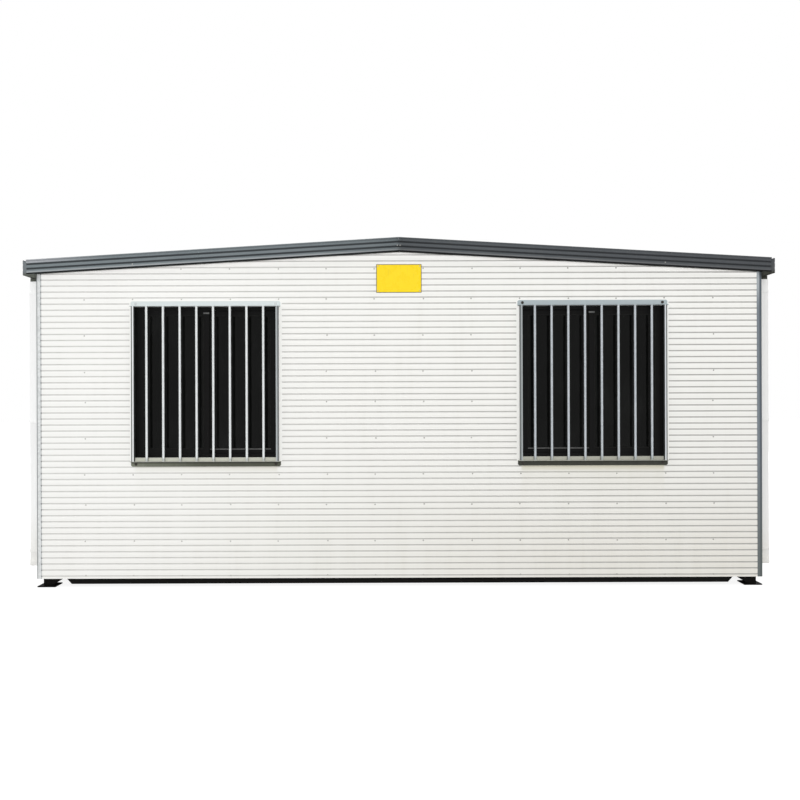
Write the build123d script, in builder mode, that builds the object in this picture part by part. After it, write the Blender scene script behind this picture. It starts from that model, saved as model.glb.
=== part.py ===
"""Portable site cabin, 6.0 m long and 3.0 m wide, on a steel skid base.

The frame's origin is on the ground under the middle of the cabin.  +X runs along the
6 m side, to the right as seen from the front, the front looks along -Y, and +Z is up.
The ridge runs from front to back over X = 0, and the roof falls to a gutter at each end.
All sizes are in millimetres.
"""

import os
from math import radians, tan

from build123d import *

os.makedirs("parts", exist_ok=True)

FACES = {"front": -1, "back": 1}
ENDS = {"left": -1, "right": 1}

# Overall body, over the corner flashings
body_length = 6000
body_width = 3000

# Base
foot_plate = 150
foot_plate_thickness = 10
foot_post = 75
foot_inset = 30
foot_gusset_reach = 98
foot_gusset_thickness = 10
rail_underside = 25
rail_height = 150
rail_flange = 75
rail_flange_thickness = 9
rail_web = 6
notch_length = 170
notch_slant = 40
joist_width = 50
joist_height = 100
joist_spacing = 600
deck_thickness = 18

# Walls, from the outside inwards
flashing_leg = 40
flashing_thickness = 2
cladding_thickness = 6
wall_thickness = 75
cladding_underside = 70

# Roof
roof_pitch = 3.3
eaves_height = 2620
roof_panel_thickness = 57
roof_sheet_thickness = 4
roof_rib_height = 23
roof_rib_pitch = 190
roof_rib_foot = 58
roof_rib_crest = 26
roof_overhang = 45
ridge_cap_reach = 160
cap_thickness = 2

# Barge along each slope of a gable
barge_depth = 55
barge_drop = 30
barge_thickness = 2.5
barge_lap = 60
barge_short_of_lip = 34

# Gutter at each end
gutter_width = 96
gutter_lip_rise = 80
gutter_lip_height = 125
gutter_fall = 19
gutter_back_gap = 7
gutter_thickness = 2.5
gutter_bead_radius = 5
nozzle_clearance = 2.5
nozzle_wall = 2
nozzle_lap = 40

# Downpipe near each front corner
pipe_radius = 45
pipe_wall = 2.5
pipe_from_corner = 100
pipe_bottom = 170
pipe_top_gap = 18
collar_thickness = 3
collar_height = 46
clip_height = 22
clip_width = 44
clip_inset = 110

# Windows
window_spacing = 3200
window_width = 1200
window_height = 1250
window_sill_level = 1068
frame_setback = 20
frame_depth = 55
frame_border = 30
sash_setback = 28
sash_depth = 18
sash_gap = 2
sash_stile = 40
meeting_stile = 45
glass_thickness = 5

# Security grille over each window
grille_lap = 20
grille_drop = 28
grille_leg = 45
grille_leg_thickness = 4
grille_side_width = 20
grille_side_inset = 15
grille_bar_pitch = 137.5
grille_bar_radius = 10

# Door in the middle of the back wall
door_opening_width = 900
door_opening_height = 2100
door_jamb = 30
door_sill = 20
door_stop = 12
door_gap = 3
door_thickness = 40
handle_level = 1050
handle_from_edge = 65
handle_plate_width = 46
handle_plate_height = 190
handle_plate_thickness = 8
handle_reach = 36
handle_radius = 9
handle_length = 125

# Blank plate under the peak of the front gable
sign_width = 375
sign_height = 235
sign_thickness = 3
sign_below_barge = 100

# Planes and levels that follow from the sizes above
corner_x = body_length / 2
corner_y = body_width / 2
crest_x = corner_x - flashing_thickness
crest_y = corner_y - flashing_thickness
wall_x = crest_x - cladding_thickness
wall_y = crest_y - cladding_thickness
room_x = wall_x - wall_thickness
room_y = wall_y - wall_thickness
rail_top = rail_underside + rail_height
notch_top = cladding_underside
half_long_rail = wall_x - foot_inset - foot_post
half_end_rail = wall_y - foot_inset - foot_post
floor_level = rail_top + deck_thickness
roof_slope = tan(radians(roof_pitch))
sheet_top = roof_panel_thickness + roof_sheet_thickness + roof_rib_height
cap_top = sheet_top + cap_thickness
gutter_x = corner_x + gutter_width
barge_y = corner_y + barge_depth
gutter_end_y = barge_y - barge_thickness


def save(piece, name):
    """Label a finished piece and write its STEP file."""
    piece.part.label = name
    export_step(piece.part, f"parts/{name}.step")


def wall_top(x):
    """Level of the walls' sloping top at a distance x from the ridge."""
    return eaves_height + roof_slope * (corner_x - abs(x))


def slope_band(x0, x1, low, high):
    """Strip along the roof's slope, from low to high above the walls' top."""
    Polygon(
        (x0, wall_top(x0) + low),
        (x1, wall_top(x1) + low),
        (x1, wall_top(x1) + high),
        (x0, wall_top(x0) + high),
    )


def upright(y0, y1):
    """Upright XZ plane at the farther of two Y places; extruding fills towards the other."""
    return Plane.XZ.offset(-max(y0, y1))


def behind_crest(face, outer, inner):
    """Upright plane for a slab between two depths behind a long side's cladding crest."""
    return upright(face * (crest_y - outer), face * (crest_y - inner))


def upright_end(x0, x1):
    """Upright YZ plane at the lesser of two X places; extruding fills towards the other."""
    return Plane.YZ.offset(min(x0, x1))


# Corner feet: a square post on a plate, with a raking gusset inside each rail
def gusset(side, post_face):
    """Plate beside a post, from the foot plate up to the rail's top flange."""
    reach = post_face - foot_gusset_reach
    Polygon(
        (side * post_face, foot_plate_thickness),
        (side * post_face, rail_top - rail_flange_thickness),
        (side * reach, rail_top - rail_flange_thickness),
        (side * reach, notch_top),
    )


for face_name, face in FACES.items():
    for end_name, end in ENDS.items():
        centre = (end * (half_long_rail + foot_post / 2), face * (half_end_rail + foot_post / 2))
        post_x = half_long_rail + foot_post
        post_y = half_end_rail + foot_post
        with BuildPart() as foot:
            with BuildSketch():
                with Locations(centre):
                    Rectangle(foot_plate, foot_plate)
            extrude(amount=foot_plate_thickness)
            with BuildSketch(Plane.XY.offset(foot_plate_thickness)):
                with Locations(centre):
                    Rectangle(foot_post, foot_post)
            extrude(amount=rail_top - foot_plate_thickness)
            with BuildSketch(upright(face * post_y, face * (post_y - foot_gusset_thickness))):
                gusset(end, half_long_rail)
            extrude(amount=foot_gusset_thickness)
            with BuildSketch(upright_end(end * post_x, end * (post_x - foot_gusset_thickness))):
                gusset(face, half_end_rail)
            extrude(amount=foot_gusset_thickness)
        save(foot, f"foot_{face_name}_{end_name}")


# Base rails: channels between the feet, webs outwards, notched beside each foot
def channel(side, outer):
    """Channel section with its web's outer face at a distance outer to one side."""
    web_face = outer - rail_web
    tips = outer - rail_flange
    top_flange = rail_top - rail_flange_thickness
    bottom_flange = rail_underside + rail_flange_thickness
    Polygon(
        (side * outer, rail_underside),
        (side * outer, rail_top),
        (side * tips, rail_top),
        (side * tips, top_flange),
        (side * web_face, top_flange),
        (side * web_face, bottom_flange),
        (side * tips, bottom_flange),
        (side * tips, rail_underside),
    )


def notches(half_length):
    """Outlines cut from a rail's underside at its two ends."""
    for side in (-1, 1):
        Polygon(
            (side * half_length, rail_underside),
            (side * half_length, notch_top),
            (side * (half_length - notch_length + notch_slant), notch_top),
            (side * (half_length - notch_length), rail_underside),
        )


for face_name, face in FACES.items():
    with BuildPart() as long_rail:
        with BuildSketch(Plane.YZ.offset(-half_long_rail)):
            channel(face, wall_y)
        extrude(amount=2 * half_long_rail)
        with BuildSketch(upright(face * wall_y, face * (wall_y - rail_flange))):
            notches(half_long_rail)
        extrude(amount=rail_flange, mode=Mode.SUBTRACT)
    save(long_rail, f"base_rail_{face_name}")

for end_name, end in ENDS.items():
    with BuildPart() as end_rail:
        with BuildSketch(upright(-half_end_rail, half_end_rail)):
            channel(end, wall_x)
        extrude(amount=2 * half_end_rail)
        with BuildSketch(upright_end(end * wall_x, end * (wall_x - rail_flange))):
            notches(half_end_rail)
        extrude(amount=rail_flange, mode=Mode.SUBTRACT)
    save(end_rail, f"base_rail_{end_name}")

# Floor joists from the front rail to the back one, and the deck over them
with BuildPart() as joists:
    with BuildSketch(Plane.XY.offset(rail_top - joist_height)):
        with GridLocations(joist_spacing, 0, int(2 * room_x // joist_spacing), 1):
            Rectangle(joist_width, 2 * (wall_y - rail_flange))
    extrude(amount=joist_height)
save(joists, "floor_joists")

with BuildPart() as deck:
    with BuildSketch(Plane.XY.offset(rail_top)):
        Rectangle(2 * wall_x, 2 * wall_y)
    extrude(amount=deck_thickness)
save(deck, "floor_deck")


# Walls: the long sides carry the gables, and the end walls stand between them
window_middle = window_sill_level + window_height / 2


def gable(half, underside):
    """Gable-shaped outline of a long side, up to the walls' top."""
    Polygon(
        (-half, underside),
        (half, underside),
        (half, wall_top(half)),
        (0, wall_top(0)),
        (-half, wall_top(half)),
    )


def long_side_holes(face):
    """Cut the windows, and the doorway at the back, out of the open sketch."""
    with GridLocations(window_spacing, 0, 2, 1):
        with Locations((0, window_middle)):
            Rectangle(window_width, window_height, mode=Mode.SUBTRACT)
    if face == FACES["back"]:
        with Locations((0, floor_level + door_opening_height / 2)):
            Rectangle(door_opening_width, door_opening_height, mode=Mode.SUBTRACT)


for face_name, face in FACES.items():
    with BuildPart() as long_wall:
        with BuildSketch(upright(face * room_y, face * wall_y)):
            gable(wall_x, floor_level)
            long_side_holes(face)
        extrude(amount=wall_thickness)
    save(long_wall, f"wall_{face_name}")

    with BuildPart() as long_cladding:
        with BuildSketch(upright(face * wall_y, face * crest_y)):
            gable(wall_x, cladding_underside)
            long_side_holes(face)
        extrude(amount=cladding_thickness)
    save(long_cladding, f"cladding_{face_name}")

for end_name, end in ENDS.items():
    with BuildPart() as end_wall:
        with BuildSketch(upright(-room_y, room_y)):
            Polygon(
                (end * room_x, floor_level),
                (end * wall_x, floor_level),
                (end * wall_x, wall_top(wall_x)),
                (end * room_x, wall_top(room_x)),
            )
        extrude(amount=2 * room_y)
    save(end_wall, f"wall_{end_name}")

    with BuildPart() as end_cladding:
        with BuildSketch(upright(-wall_y, wall_y)):
            Polygon(
                (end * wall_x, cladding_underside),
                (end * crest_x, cladding_underside),
                (end * crest_x, wall_top(crest_x)),
                (end * wall_x, wall_top(wall_x)),
            )
        extrude(amount=2 * wall_y)
    save(end_cladding, f"cladding_{end_name}")

# Corner flashings: folded angles over the ends of the cladding
for face_name, face in FACES.items():
    for end_name, end in ENDS.items():
        with BuildPart() as flashing:
            with BuildSketch(Plane.XY.offset(cladding_underside)):
                Polygon(
                    (end * corner_x, face * corner_y),
                    (end * (corner_x - flashing_leg), face * corner_y),
                    (end * (corner_x - flashing_leg), face * crest_y),
                    (end * crest_x, face * crest_y),
                    (end * crest_x, face * (corner_y - flashing_leg)),
                    (end * corner_x, face * (corner_y - flashing_leg)),
                )
            extrude(amount=wall_top(corner_x) - cladding_underside)
        save(flashing, f"corner_flashing_{face_name}_{end_name}")


# Windows: a frame with an outer and an inner sash, and a pane in each sash.  The outer sash
# is on the side towards the cabin's end, so the windows of a face are a mirrored pair.
half_light = window_width / 2 - frame_border
light_height = window_height - 2 * frame_border
outer_sash = (sash_setback, -meeting_stile / 2, half_light, meeting_stile, sash_stile)
inner_sash = (sash_setback + sash_depth + sash_gap, -half_light, meeting_stile / 2, sash_stile, meeting_stile)


def between(x0, x1, height, mode=Mode.ADD):
    """Rectangle between two X places, in either order, about the windows' middle level."""
    with Locations(((x0 + x1) / 2, window_middle)):
        Rectangle(abs(x1 - x0), height, mode=mode)


for face_name, face in FACES.items():
    for end_name, end in ENDS.items():
        middle = end * window_spacing / 2
        with BuildPart() as window_frame:
            with BuildSketch(behind_crest(face, frame_setback, frame_setback + frame_depth)):
                between(middle - window_width / 2, middle + window_width / 2, window_height)
                between(middle - half_light, middle + half_light, light_height, Mode.SUBTRACT)
            extrude(amount=frame_depth)
            for setback, near, far, near_stile, far_stile in (outer_sash, inner_sash):
                with BuildSketch(behind_crest(face, setback, setback + sash_depth)):
                    between(middle + end * near, middle + end * far, light_height)
                    between(
                        middle + end * (near + near_stile),
                        middle + end * (far - far_stile),
                        light_height - 2 * sash_stile,
                        Mode.SUBTRACT,
                    )
                extrude(amount=sash_depth)
        save(window_frame, f"window_frame_{face_name}_{end_name}")

    glass_setback = (sash_depth - glass_thickness) / 2
    with BuildPart() as glass:
        for end in ENDS.values():
            middle = end * window_spacing / 2
            for setback, near, far, near_stile, far_stile in (outer_sash, inner_sash):
                pane = setback + glass_setback
                with BuildSketch(behind_crest(face, pane, pane + glass_thickness)):
                    between(
                        middle + end * (near + near_stile),
                        middle + end * (far - far_stile),
                        light_height - 2 * sash_stile,
                    )
                extrude(amount=glass_thickness)
    save(glass, f"window_glass_{face_name}")

# Security grilles: angles above and below, flat sides, and round bars between them
grille_underside = window_sill_level - grille_drop
grille_head = window_sill_level + window_height
grille_middle = (grille_underside + grille_head) / 2
grille_width = window_width + 2 * grille_lap
grille_side = grille_width / 2 - grille_side_inset - grille_side_width / 2
grille_clear = 2 * grille_side - grille_side_width
grille_bars = int(grille_clear // grille_bar_pitch)

for face_name, face in FACES.items():
    outer_y = face * (crest_y + grille_leg)
    for end_name, end in ENDS.items():
        middle = end * window_spacing / 2
        with BuildPart() as grille:
            for level, away in ((grille_underside, -1), (grille_head, 1)):
                with BuildSketch(Plane.YZ.offset(middle - grille_width / 2)):
                    Polygon(
                        (face * crest_y, level),
                        (outer_y, level),
                        (outer_y, level + away * grille_leg_thickness),
                        (face * (crest_y + grille_leg_thickness), level + away * grille_leg_thickness),
                        (face * (crest_y + grille_leg_thickness), level + away * grille_leg),
                        (face * crest_y, level + away * grille_leg),
                    )
                extrude(amount=grille_width)
            with BuildSketch(upright(face * crest_y, outer_y)):
                with Locations((middle, grille_middle)):
                    with GridLocations(2 * grille_side, 0, 2, 1):
                        Rectangle(grille_side_width, grille_head - grille_underside)
            extrude(amount=grille_leg)
            bar_y = outer_y - face * (grille_bar_radius + grille_leg_thickness / 2)
            with BuildSketch(Plane.XY.offset(grille_underside)):
                with Locations((middle, bar_y)):
                    with GridLocations(grille_bar_pitch, 0, grille_bars, 1):
                        Circle(grille_bar_radius)
            extrude(amount=grille_head - grille_underside)
        save(grille, f"grille_{face_name}_{end_name}")

# Door: jambs, head and sill around a leaf that closes against a stop
back = FACES["back"]
doorway_middle = floor_level + door_opening_height / 2
leaf_width = door_opening_width - 2 * door_jamb
leaf_height = door_opening_height - door_jamb - door_sill
leaf_middle = floor_level + door_sill + leaf_height / 2
lining_depth = cladding_thickness + wall_thickness

with BuildPart() as door_frame:
    with BuildSketch(behind_crest(back, 0, lining_depth)):
        with Locations((0, doorway_middle)):
            Rectangle(door_opening_width, door_opening_height)
        with Locations((0, leaf_middle)):
            Rectangle(leaf_width, leaf_height, mode=Mode.SUBTRACT)
    extrude(amount=lining_depth)
    with BuildSketch(behind_crest(back, door_thickness, lining_depth)):
        with Locations((0, leaf_middle)):
            Rectangle(leaf_width, leaf_height)
            Rectangle(leaf_width - 2 * door_stop, leaf_height - 2 * door_stop, mode=Mode.SUBTRACT)
    extrude(amount=lining_depth - door_thickness)
save(door_frame, "door_frame")

with BuildPart() as door_leaf:
    with BuildSketch(behind_crest(back, 0, door_thickness)):
        with Locations((0, leaf_middle)):
            Rectangle(leaf_width - 2 * door_gap, leaf_height - 2 * door_gap)
    extrude(amount=door_thickness)
save(door_leaf, "door_leaf")

handle_x = leaf_width / 2 - handle_from_edge
handle_z = floor_level + handle_level
handle_y = crest_y + handle_plate_thickness
lever_y = handle_y + handle_reach
with BuildPart() as door_handle:
    with BuildSketch(upright(crest_y, handle_y)):
        with Locations((handle_x, handle_z)):
            RectangleRounded(handle_plate_width, handle_plate_height, handle_plate_width / 3)
    extrude(amount=handle_plate_thickness)
    with BuildSketch(upright(handle_y, lever_y)):
        with Locations((handle_x, handle_z)):
            Circle(handle_radius)
    extrude(amount=handle_reach)
    with BuildSketch(Plane.YZ.offset(handle_x - handle_length)):
        with Locations((lever_y - handle_radius, handle_z)):
            Circle(handle_radius)
    extrude(amount=handle_length + handle_radius)
save(door_handle, "door_handle")

# Roof panels on the walls, with the ribbed sheets over them
rib_rows = int(2 * wall_y // roof_rib_pitch)
sheet_rise = roof_panel_thickness + roof_sheet_thickness

for end_name, end in ENDS.items():
    with BuildPart() as roof_panel:
        with BuildSketch(upright(-wall_y, wall_y)):
            slope_band(0, end * wall_x, 0, roof_panel_thickness)
        extrude(amount=2 * wall_y)
    save(roof_panel, f"roof_panel_{end_name}")

    sheet_end = end * (corner_x + roof_overhang)
    with BuildPart() as roof_sheet:
        with BuildSketch(upright(-wall_y, wall_y)):
            slope_band(0, sheet_end, roof_panel_thickness, sheet_rise)
        extrude(amount=2 * wall_y)
        ridge_base = wall_top(0) + sheet_rise
        fall = Vector(sheet_end, 0, wall_top(sheet_end) - wall_top(0))
        with BuildSketch(Plane.YZ):
            with Locations((0, ridge_base)):
                with GridLocations(roof_rib_pitch, 0, rib_rows, 1):
                    Polygon(
                        (-roof_rib_foot / 2, 0),
                        (roof_rib_foot / 2, 0),
                        (roof_rib_crest / 2, roof_rib_height),
                        (-roof_rib_crest / 2, roof_rib_height),
                    )
        extrude(amount=fall.length, dir=fall.normalized())
    save(roof_sheet, f"roof_sheet_{end_name}")

# Ridge cap over the sheets' upper ends, between the barges
cap_y = corner_y - barge_lap
with BuildPart() as ridge_cap:
    with BuildSketch(upright(-cap_y, cap_y)):
        slope_band(-ridge_cap_reach, 0, sheet_top, cap_top)
        slope_band(0, ridge_cap_reach, sheet_top, cap_top)
    extrude(amount=2 * cap_y)
save(ridge_cap, "ridge_cap")

# Barges: folded channels that meet over the peak; their faces run out over the gutters' ends
for face_name, face in FACES.items():
    for end_name, end in ENDS.items():
        reach = end * (gutter_x - barge_short_of_lip)
        with BuildPart() as barge:
            with BuildSketch(upright(face * (barge_y - barge_thickness), face * barge_y)):
                slope_band(0, reach, -barge_drop, cap_top)
            extrude(amount=barge_thickness)
            with BuildSketch(upright(face * corner_y, face * barge_y)):
                slope_band(0, end * corner_x, -barge_drop, barge_thickness - barge_drop)
                slope_band(0, reach, sheet_top, cap_top)
            extrude(amount=barge_depth)
            with BuildSketch(upright(face * cap_y, face * corner_y)):
                slope_band(0, end * (corner_x + roof_overhang), sheet_top, cap_top)
            extrude(amount=corner_y - cap_y)
        save(barge, f"barge_{face_name}_{end_name}")

# Gutters: a trough behind the barges' faces, with a beaded lip and a nozzle down into the pipe
gutter_lip_top = eaves_height + gutter_lip_rise
gutter_back_top = eaves_height + roof_panel_thickness - gutter_back_gap
lip_foot = gutter_lip_top - gutter_lip_height
back_foot = lip_foot - gutter_fall
nozzle_radius = pipe_radius - pipe_wall - nozzle_clearance
pipe_x = corner_x + gutter_width / 2
pipe_y = pipe_from_corner - corner_y
pipe_top = back_foot - pipe_top_gap
nozzle_bottom = pipe_top - nozzle_lap
clip_levels = (pipe_bottom + clip_inset, (pipe_bottom + pipe_top) / 2, pipe_top - clip_inset)

for end_name, end in ENDS.items():
    with BuildPart() as gutter:
        with BuildSketch(upright(-gutter_end_y, gutter_end_y)):
            Polygon(
                (end * corner_x, gutter_back_top),
                (end * corner_x, back_foot),
                (end * gutter_x, lip_foot),
                (end * gutter_x, gutter_lip_top),
            )
        extrude(amount=2 * gutter_end_y)
        with BuildSketch(Plane.XY.offset(nozzle_bottom)):
            with Locations((end * pipe_x, pipe_y)):
                Circle(nozzle_radius)
        extrude(amount=gutter_back_top - nozzle_bottom)
        trough_y = gutter_end_y - gutter_thickness
        with BuildSketch(upright(-trough_y, trough_y)):
            Polygon(
                (end * (corner_x + gutter_thickness), gutter_lip_top),
                (end * (corner_x + gutter_thickness), back_foot + gutter_thickness),
                (end * (gutter_x - gutter_thickness), lip_foot + gutter_thickness),
                (end * (gutter_x - gutter_thickness), gutter_lip_top),
            )
        extrude(amount=2 * trough_y, mode=Mode.SUBTRACT)
        with BuildSketch(Plane.XY.offset(nozzle_bottom)):
            with Locations((end * pipe_x, pipe_y)):
                Circle(nozzle_radius - nozzle_wall)
        extrude(amount=gutter_back_top - nozzle_bottom, mode=Mode.SUBTRACT)
        with BuildSketch(upright(-gutter_end_y, gutter_end_y)):
            with Locations((end * (gutter_x - gutter_bead_radius), gutter_lip_top - gutter_bead_radius)):
                Circle(gutter_bead_radius)
        extrude(amount=2 * gutter_end_y)
    save(gutter, f"gutter_{end_name}")

# Downpipes: a tube with a collar at its foot, clipped to the end wall
for end_name, end in ENDS.items():
    with BuildPart() as downpipe:
        with BuildSketch(Plane.XY.offset(pipe_bottom)):
            with Locations((end * pipe_x, pipe_y)):
                Circle(pipe_radius)
        extrude(amount=pipe_top - pipe_bottom)
        with BuildSketch(Plane.XY.offset(pipe_bottom)):
            with Locations((end * pipe_x, pipe_y)):
                Circle(pipe_radius + collar_thickness)
        extrude(amount=collar_height)
        for level in clip_levels:
            with BuildSketch(Plane.XY.offset(level)):
                with Locations((end * pipe_x, pipe_y)):
                    Circle(pipe_radius + collar_thickness)
                with Locations((end * (crest_x + pipe_x) / 2, pipe_y)):
                    Rectangle(pipe_x - crest_x, clip_width)
            extrude(amount=clip_height)
        with BuildSketch(Plane.XY.offset(pipe_bottom)):
            with Locations((end * pipe_x, pipe_y)):
                Circle(pipe_radius - pipe_wall)
        extrude(amount=pipe_top - pipe_bottom, mode=Mode.SUBTRACT)
    save(downpipe, f"downpipe_{end_name}")

# Blank plate riveted to the front gable
sign_top = wall_top(0) - barge_drop - sign_below_barge
with BuildPart() as sign:
    with BuildSketch(upright(-crest_y, -crest_y - sign_thickness)):
        with Locations((0, sign_top - sign_height / 2)):
            Rectangle(sign_width, sign_height)
    extrude(amount=sign_thickness)
save(sign, "sign_plate")
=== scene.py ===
import math
import random

import bmesh
import bpy
from mathutils import Matrix, Vector


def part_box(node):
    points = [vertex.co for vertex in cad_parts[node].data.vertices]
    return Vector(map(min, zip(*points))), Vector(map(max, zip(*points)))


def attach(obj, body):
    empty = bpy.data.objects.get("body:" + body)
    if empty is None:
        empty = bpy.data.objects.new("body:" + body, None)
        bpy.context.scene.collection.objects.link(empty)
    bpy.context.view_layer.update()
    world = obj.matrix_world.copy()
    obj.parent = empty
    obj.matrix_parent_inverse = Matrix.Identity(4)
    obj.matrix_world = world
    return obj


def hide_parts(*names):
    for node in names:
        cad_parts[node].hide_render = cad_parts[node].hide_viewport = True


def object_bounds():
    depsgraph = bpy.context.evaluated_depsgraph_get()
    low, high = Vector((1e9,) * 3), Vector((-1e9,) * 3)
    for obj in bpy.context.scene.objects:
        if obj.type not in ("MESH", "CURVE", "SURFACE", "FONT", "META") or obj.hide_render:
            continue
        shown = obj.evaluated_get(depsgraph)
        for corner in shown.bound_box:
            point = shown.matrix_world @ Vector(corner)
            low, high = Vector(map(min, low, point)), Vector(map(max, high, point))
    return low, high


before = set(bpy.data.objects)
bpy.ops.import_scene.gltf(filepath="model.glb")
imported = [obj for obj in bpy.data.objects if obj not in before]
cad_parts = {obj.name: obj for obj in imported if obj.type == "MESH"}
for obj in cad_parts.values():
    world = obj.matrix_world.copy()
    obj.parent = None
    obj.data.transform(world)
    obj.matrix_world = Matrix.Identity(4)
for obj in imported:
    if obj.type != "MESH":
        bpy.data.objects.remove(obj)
cad_low, cad_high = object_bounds()


# ---- Skid base --------------------------------------------------------------
# Four square posts on ground plates, with gussets beside them, channel rails between them and joists
# across. Welded mild steel, brush-painted black, with dust on it and rust where it has been knocked.
ends = {"left": -1, "right": 1}
faces = {"front": -1, "back": 1}
walls = (*faces, *ends)
skid_edge, joist_edge = 0.002, 0.0015
edge_angle = math.radians(35)
weld_distance = 1e-5


class Socket:
    """An output of a material's node, on which sums are written as Python expressions."""

    # Where a Mix node has its factor, its two colours and the colour that comes of them
    mix_factor, mix_low, mix_high, mix_result = 0, 6, 7, 2

    def __init__(self, tree, socket=None):
        self.tree = tree
        self.socket = socket

    def node(self, kind, settings=None, values=None, output=0):
        """Adds a node: its settings are set first, then the values or links of its sockets."""
        made = self.tree.nodes.new(kind)
        for name, value in (settings or {}).items():
            setattr(made, name, value)
        for name, value in (values or {}).items():
            feed(made, name, value)
        return Socket(self.tree, made.outputs[output])

    def sum(self, operation, first, second=0.0):
        return self.node("ShaderNodeMath", {"operation": operation}, {0: first, 1: second})

    def __add__(self, other):
        return self.sum("ADD", self, other)

    def __sub__(self, other):
        return self.sum("SUBTRACT", self, other)

    def __rsub__(self, other):
        return self.sum("SUBTRACT", other, self)

    def __mul__(self, other):
        return self.sum("MULTIPLY", self, other)

    def __mod__(self, other):
        return self.sum("FLOORED_MODULO", self, other)

    def __abs__(self):
        return self.sum("ABSOLUTE", self)

    __radd__ = __add__
    __rmul__ = __mul__

    def most(self, other):
        return self.sum("MAXIMUM", self, other)

    def off_line(self, pitch):
        """The distance to the nearest of a row of lines, the first of them half a pitch past 0."""
        return abs(self % pitch - pitch / 2)

    def ramp(self, low, high):
        """0 below low and 1 above high, with a soft change between them."""
        places = {"Value": self, "From Min": low, "From Max": high}
        return self.node("ShaderNodeMapRange", {"interpolation_type": "SMOOTHSTEP"}, places)

    def band(self, low, high, soft):
        """1 between low and high and 0 outside them, with soft edges."""
        return self.ramp(low - soft, low) * (1 - self.ramp(high, high + soft))

    def mix(self, low, high):
        """One colour where this value is 0 and another where it is 1."""
        values = {self.mix_factor: self, self.mix_low: low, self.mix_high: high}
        return self.node("ShaderNodeMix", {"data_type": "RGBA"}, values, self.mix_result)

    def axis(self, name):
        return self.node("ShaderNodeSeparateXYZ", {}, {0: self}, name)

    @property
    def x(self):
        return self.axis("X")

    @property
    def y(self):
        return self.axis("Y")

    @property
    def z(self):
        return self.axis("Z")

    def stretched(self, *factors):
        return self.node("ShaderNodeVectorMath", {"operation": "MULTIPLY"}, {0: self, 1: factors})

    def noise(self, scale, detail=2.0, roughness=0.5):
        """Soft noise from 0 to 1 with this many lumps in a metre."""
        values = {"Vector": self, "Scale": scale, "Detail": detail, "Roughness": roughness}
        return self.node("ShaderNodeTexNoise", {}, values)

    def spangle(self, scale):
        """A number from 0 to 1 for each crystal of a zinc coat, with this many in a metre."""
        return self.node("ShaderNodeTexVoronoi", {}, {"Vector": self, "Scale": scale}, "Color").x

    def relief(self, depth):
        """A normal that raises the surface by this value times a depth in metres."""
        return self.node("ShaderNodeBump", {}, {"Height": self, "Distance": depth})


def feed(node, name, value):
    """Links a socket to a node's input, or sets that input to a number, colour or vector."""
    if isinstance(value, Socket):
        node.id_data.links.new(value.socket, node.inputs[name])
    elif isinstance(value, tuple) and len(value) == 3 and node.inputs[name].type == "RGBA":
        node.inputs[name].default_value = (*value, 1)
    else:
        node.inputs[name].default_value = value


def coat(name, metal=0.0, rough=0.5, specular=0.5):
    """A new finish: the material, its shader and the place on the cabin in metres."""
    material = bpy.data.materials.new(name)
    material.use_nodes = True
    shader = material.node_tree.nodes["Principled BSDF"]
    feed(shader, "Metallic", metal)
    feed(shader, "Roughness", rough)
    feed(shader, "Specular IOR Level", specular)
    place = Socket(material.node_tree).node("ShaderNodeTexCoord", output="Object")
    return material, shader, place


def black_paint():
    material, shader, place = coat("skid_paint", specular=0.05)
    patches = place.noise(9, 5, 0.65)
    dust = place.noise(45, 4, 0.7).ramp(0.42, 0.75) * (1 - place.z.ramp(0.0, 0.16) * 0.6)
    knocks = place.noise(60, 3, 0.6).ramp(0.70, 0.74)
    painted = patches.mix((0.0025, 0.0025, 0.0025), (0.0060, 0.0058, 0.0055))
    dusty = (dust * 0.05).mix(painted, (0.10, 0.085, 0.065))
    feed(shader, "Base Color", (knocks * 0.5).mix(dusty, (0.040, 0.019, 0.010)))
    feed(shader, "Roughness", patches * 0.25 + dust * 0.2 + 0.42)
    feed(shader, "Normal", (place.noise(140, 3) + knocks * -0.8).relief(0.0008))
    return material


def dress(node, paint, edge=0.0):
    """Gives a node of the frame its finish, and rounds its edges."""
    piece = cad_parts[node]
    piece.data.materials.clear()
    piece.data.materials.append(paint)
    if edge:
        weld = piece.modifiers.new("weld", "WELD")
        weld.merge_threshold = weld_distance
        round_edges(piece, edge)


def round_edges(piece, width, steps=2):
    bevel = piece.modifiers.new("edges", "BEVEL")
    bevel.width = width
    bevel.segments = steps
    bevel.limit_method = "ANGLE"
    bevel.angle_limit = edge_angle
    bevel.harden_normals = True


skid_paint = black_paint()
for face in faces:
    for end in ends:
        dress(f"foot_{face}_{end}", skid_paint, skid_edge)
for side in walls:
    dress(f"base_rail_{side}", skid_paint, skid_edge)
dress("floor_joists", skid_paint, joist_edge)


# ---- Floor deck and wall lining ---------------------------------------------
# Structural plywood screwed over the joists, and stud walls lined inside with painted boards that
# have a V joint at every board. They show only through the windows and under the floor.
board_width = 0.100
ply_length, ply_width = 2.4, 1.2
ply_joint, board_joint = (0.0015, 0.004), (0.001, 0.004)


def sealed_ply():
    material, shader, place = coat("floor_plywood", rough=0.45)
    grain = place.stretched(3, 34, 34).noise(3, 6, 0.6)
    joint = place.x.off_line(ply_length).ramp(*ply_joint)
    seam = place.y.off_line(ply_width).ramp(*ply_joint)
    wood = grain.mix((0.33, 0.22, 0.12), (0.52, 0.39, 0.24))
    feed(shader, "Base Color", (joint * seam).mix((0.10, 0.07, 0.045), wood))
    feed(shader, "Roughness", grain * 0.3 + 0.35)
    feed(shader, "Normal", (grain * 0.2 + joint * seam).relief(0.0008))
    return material


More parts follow.
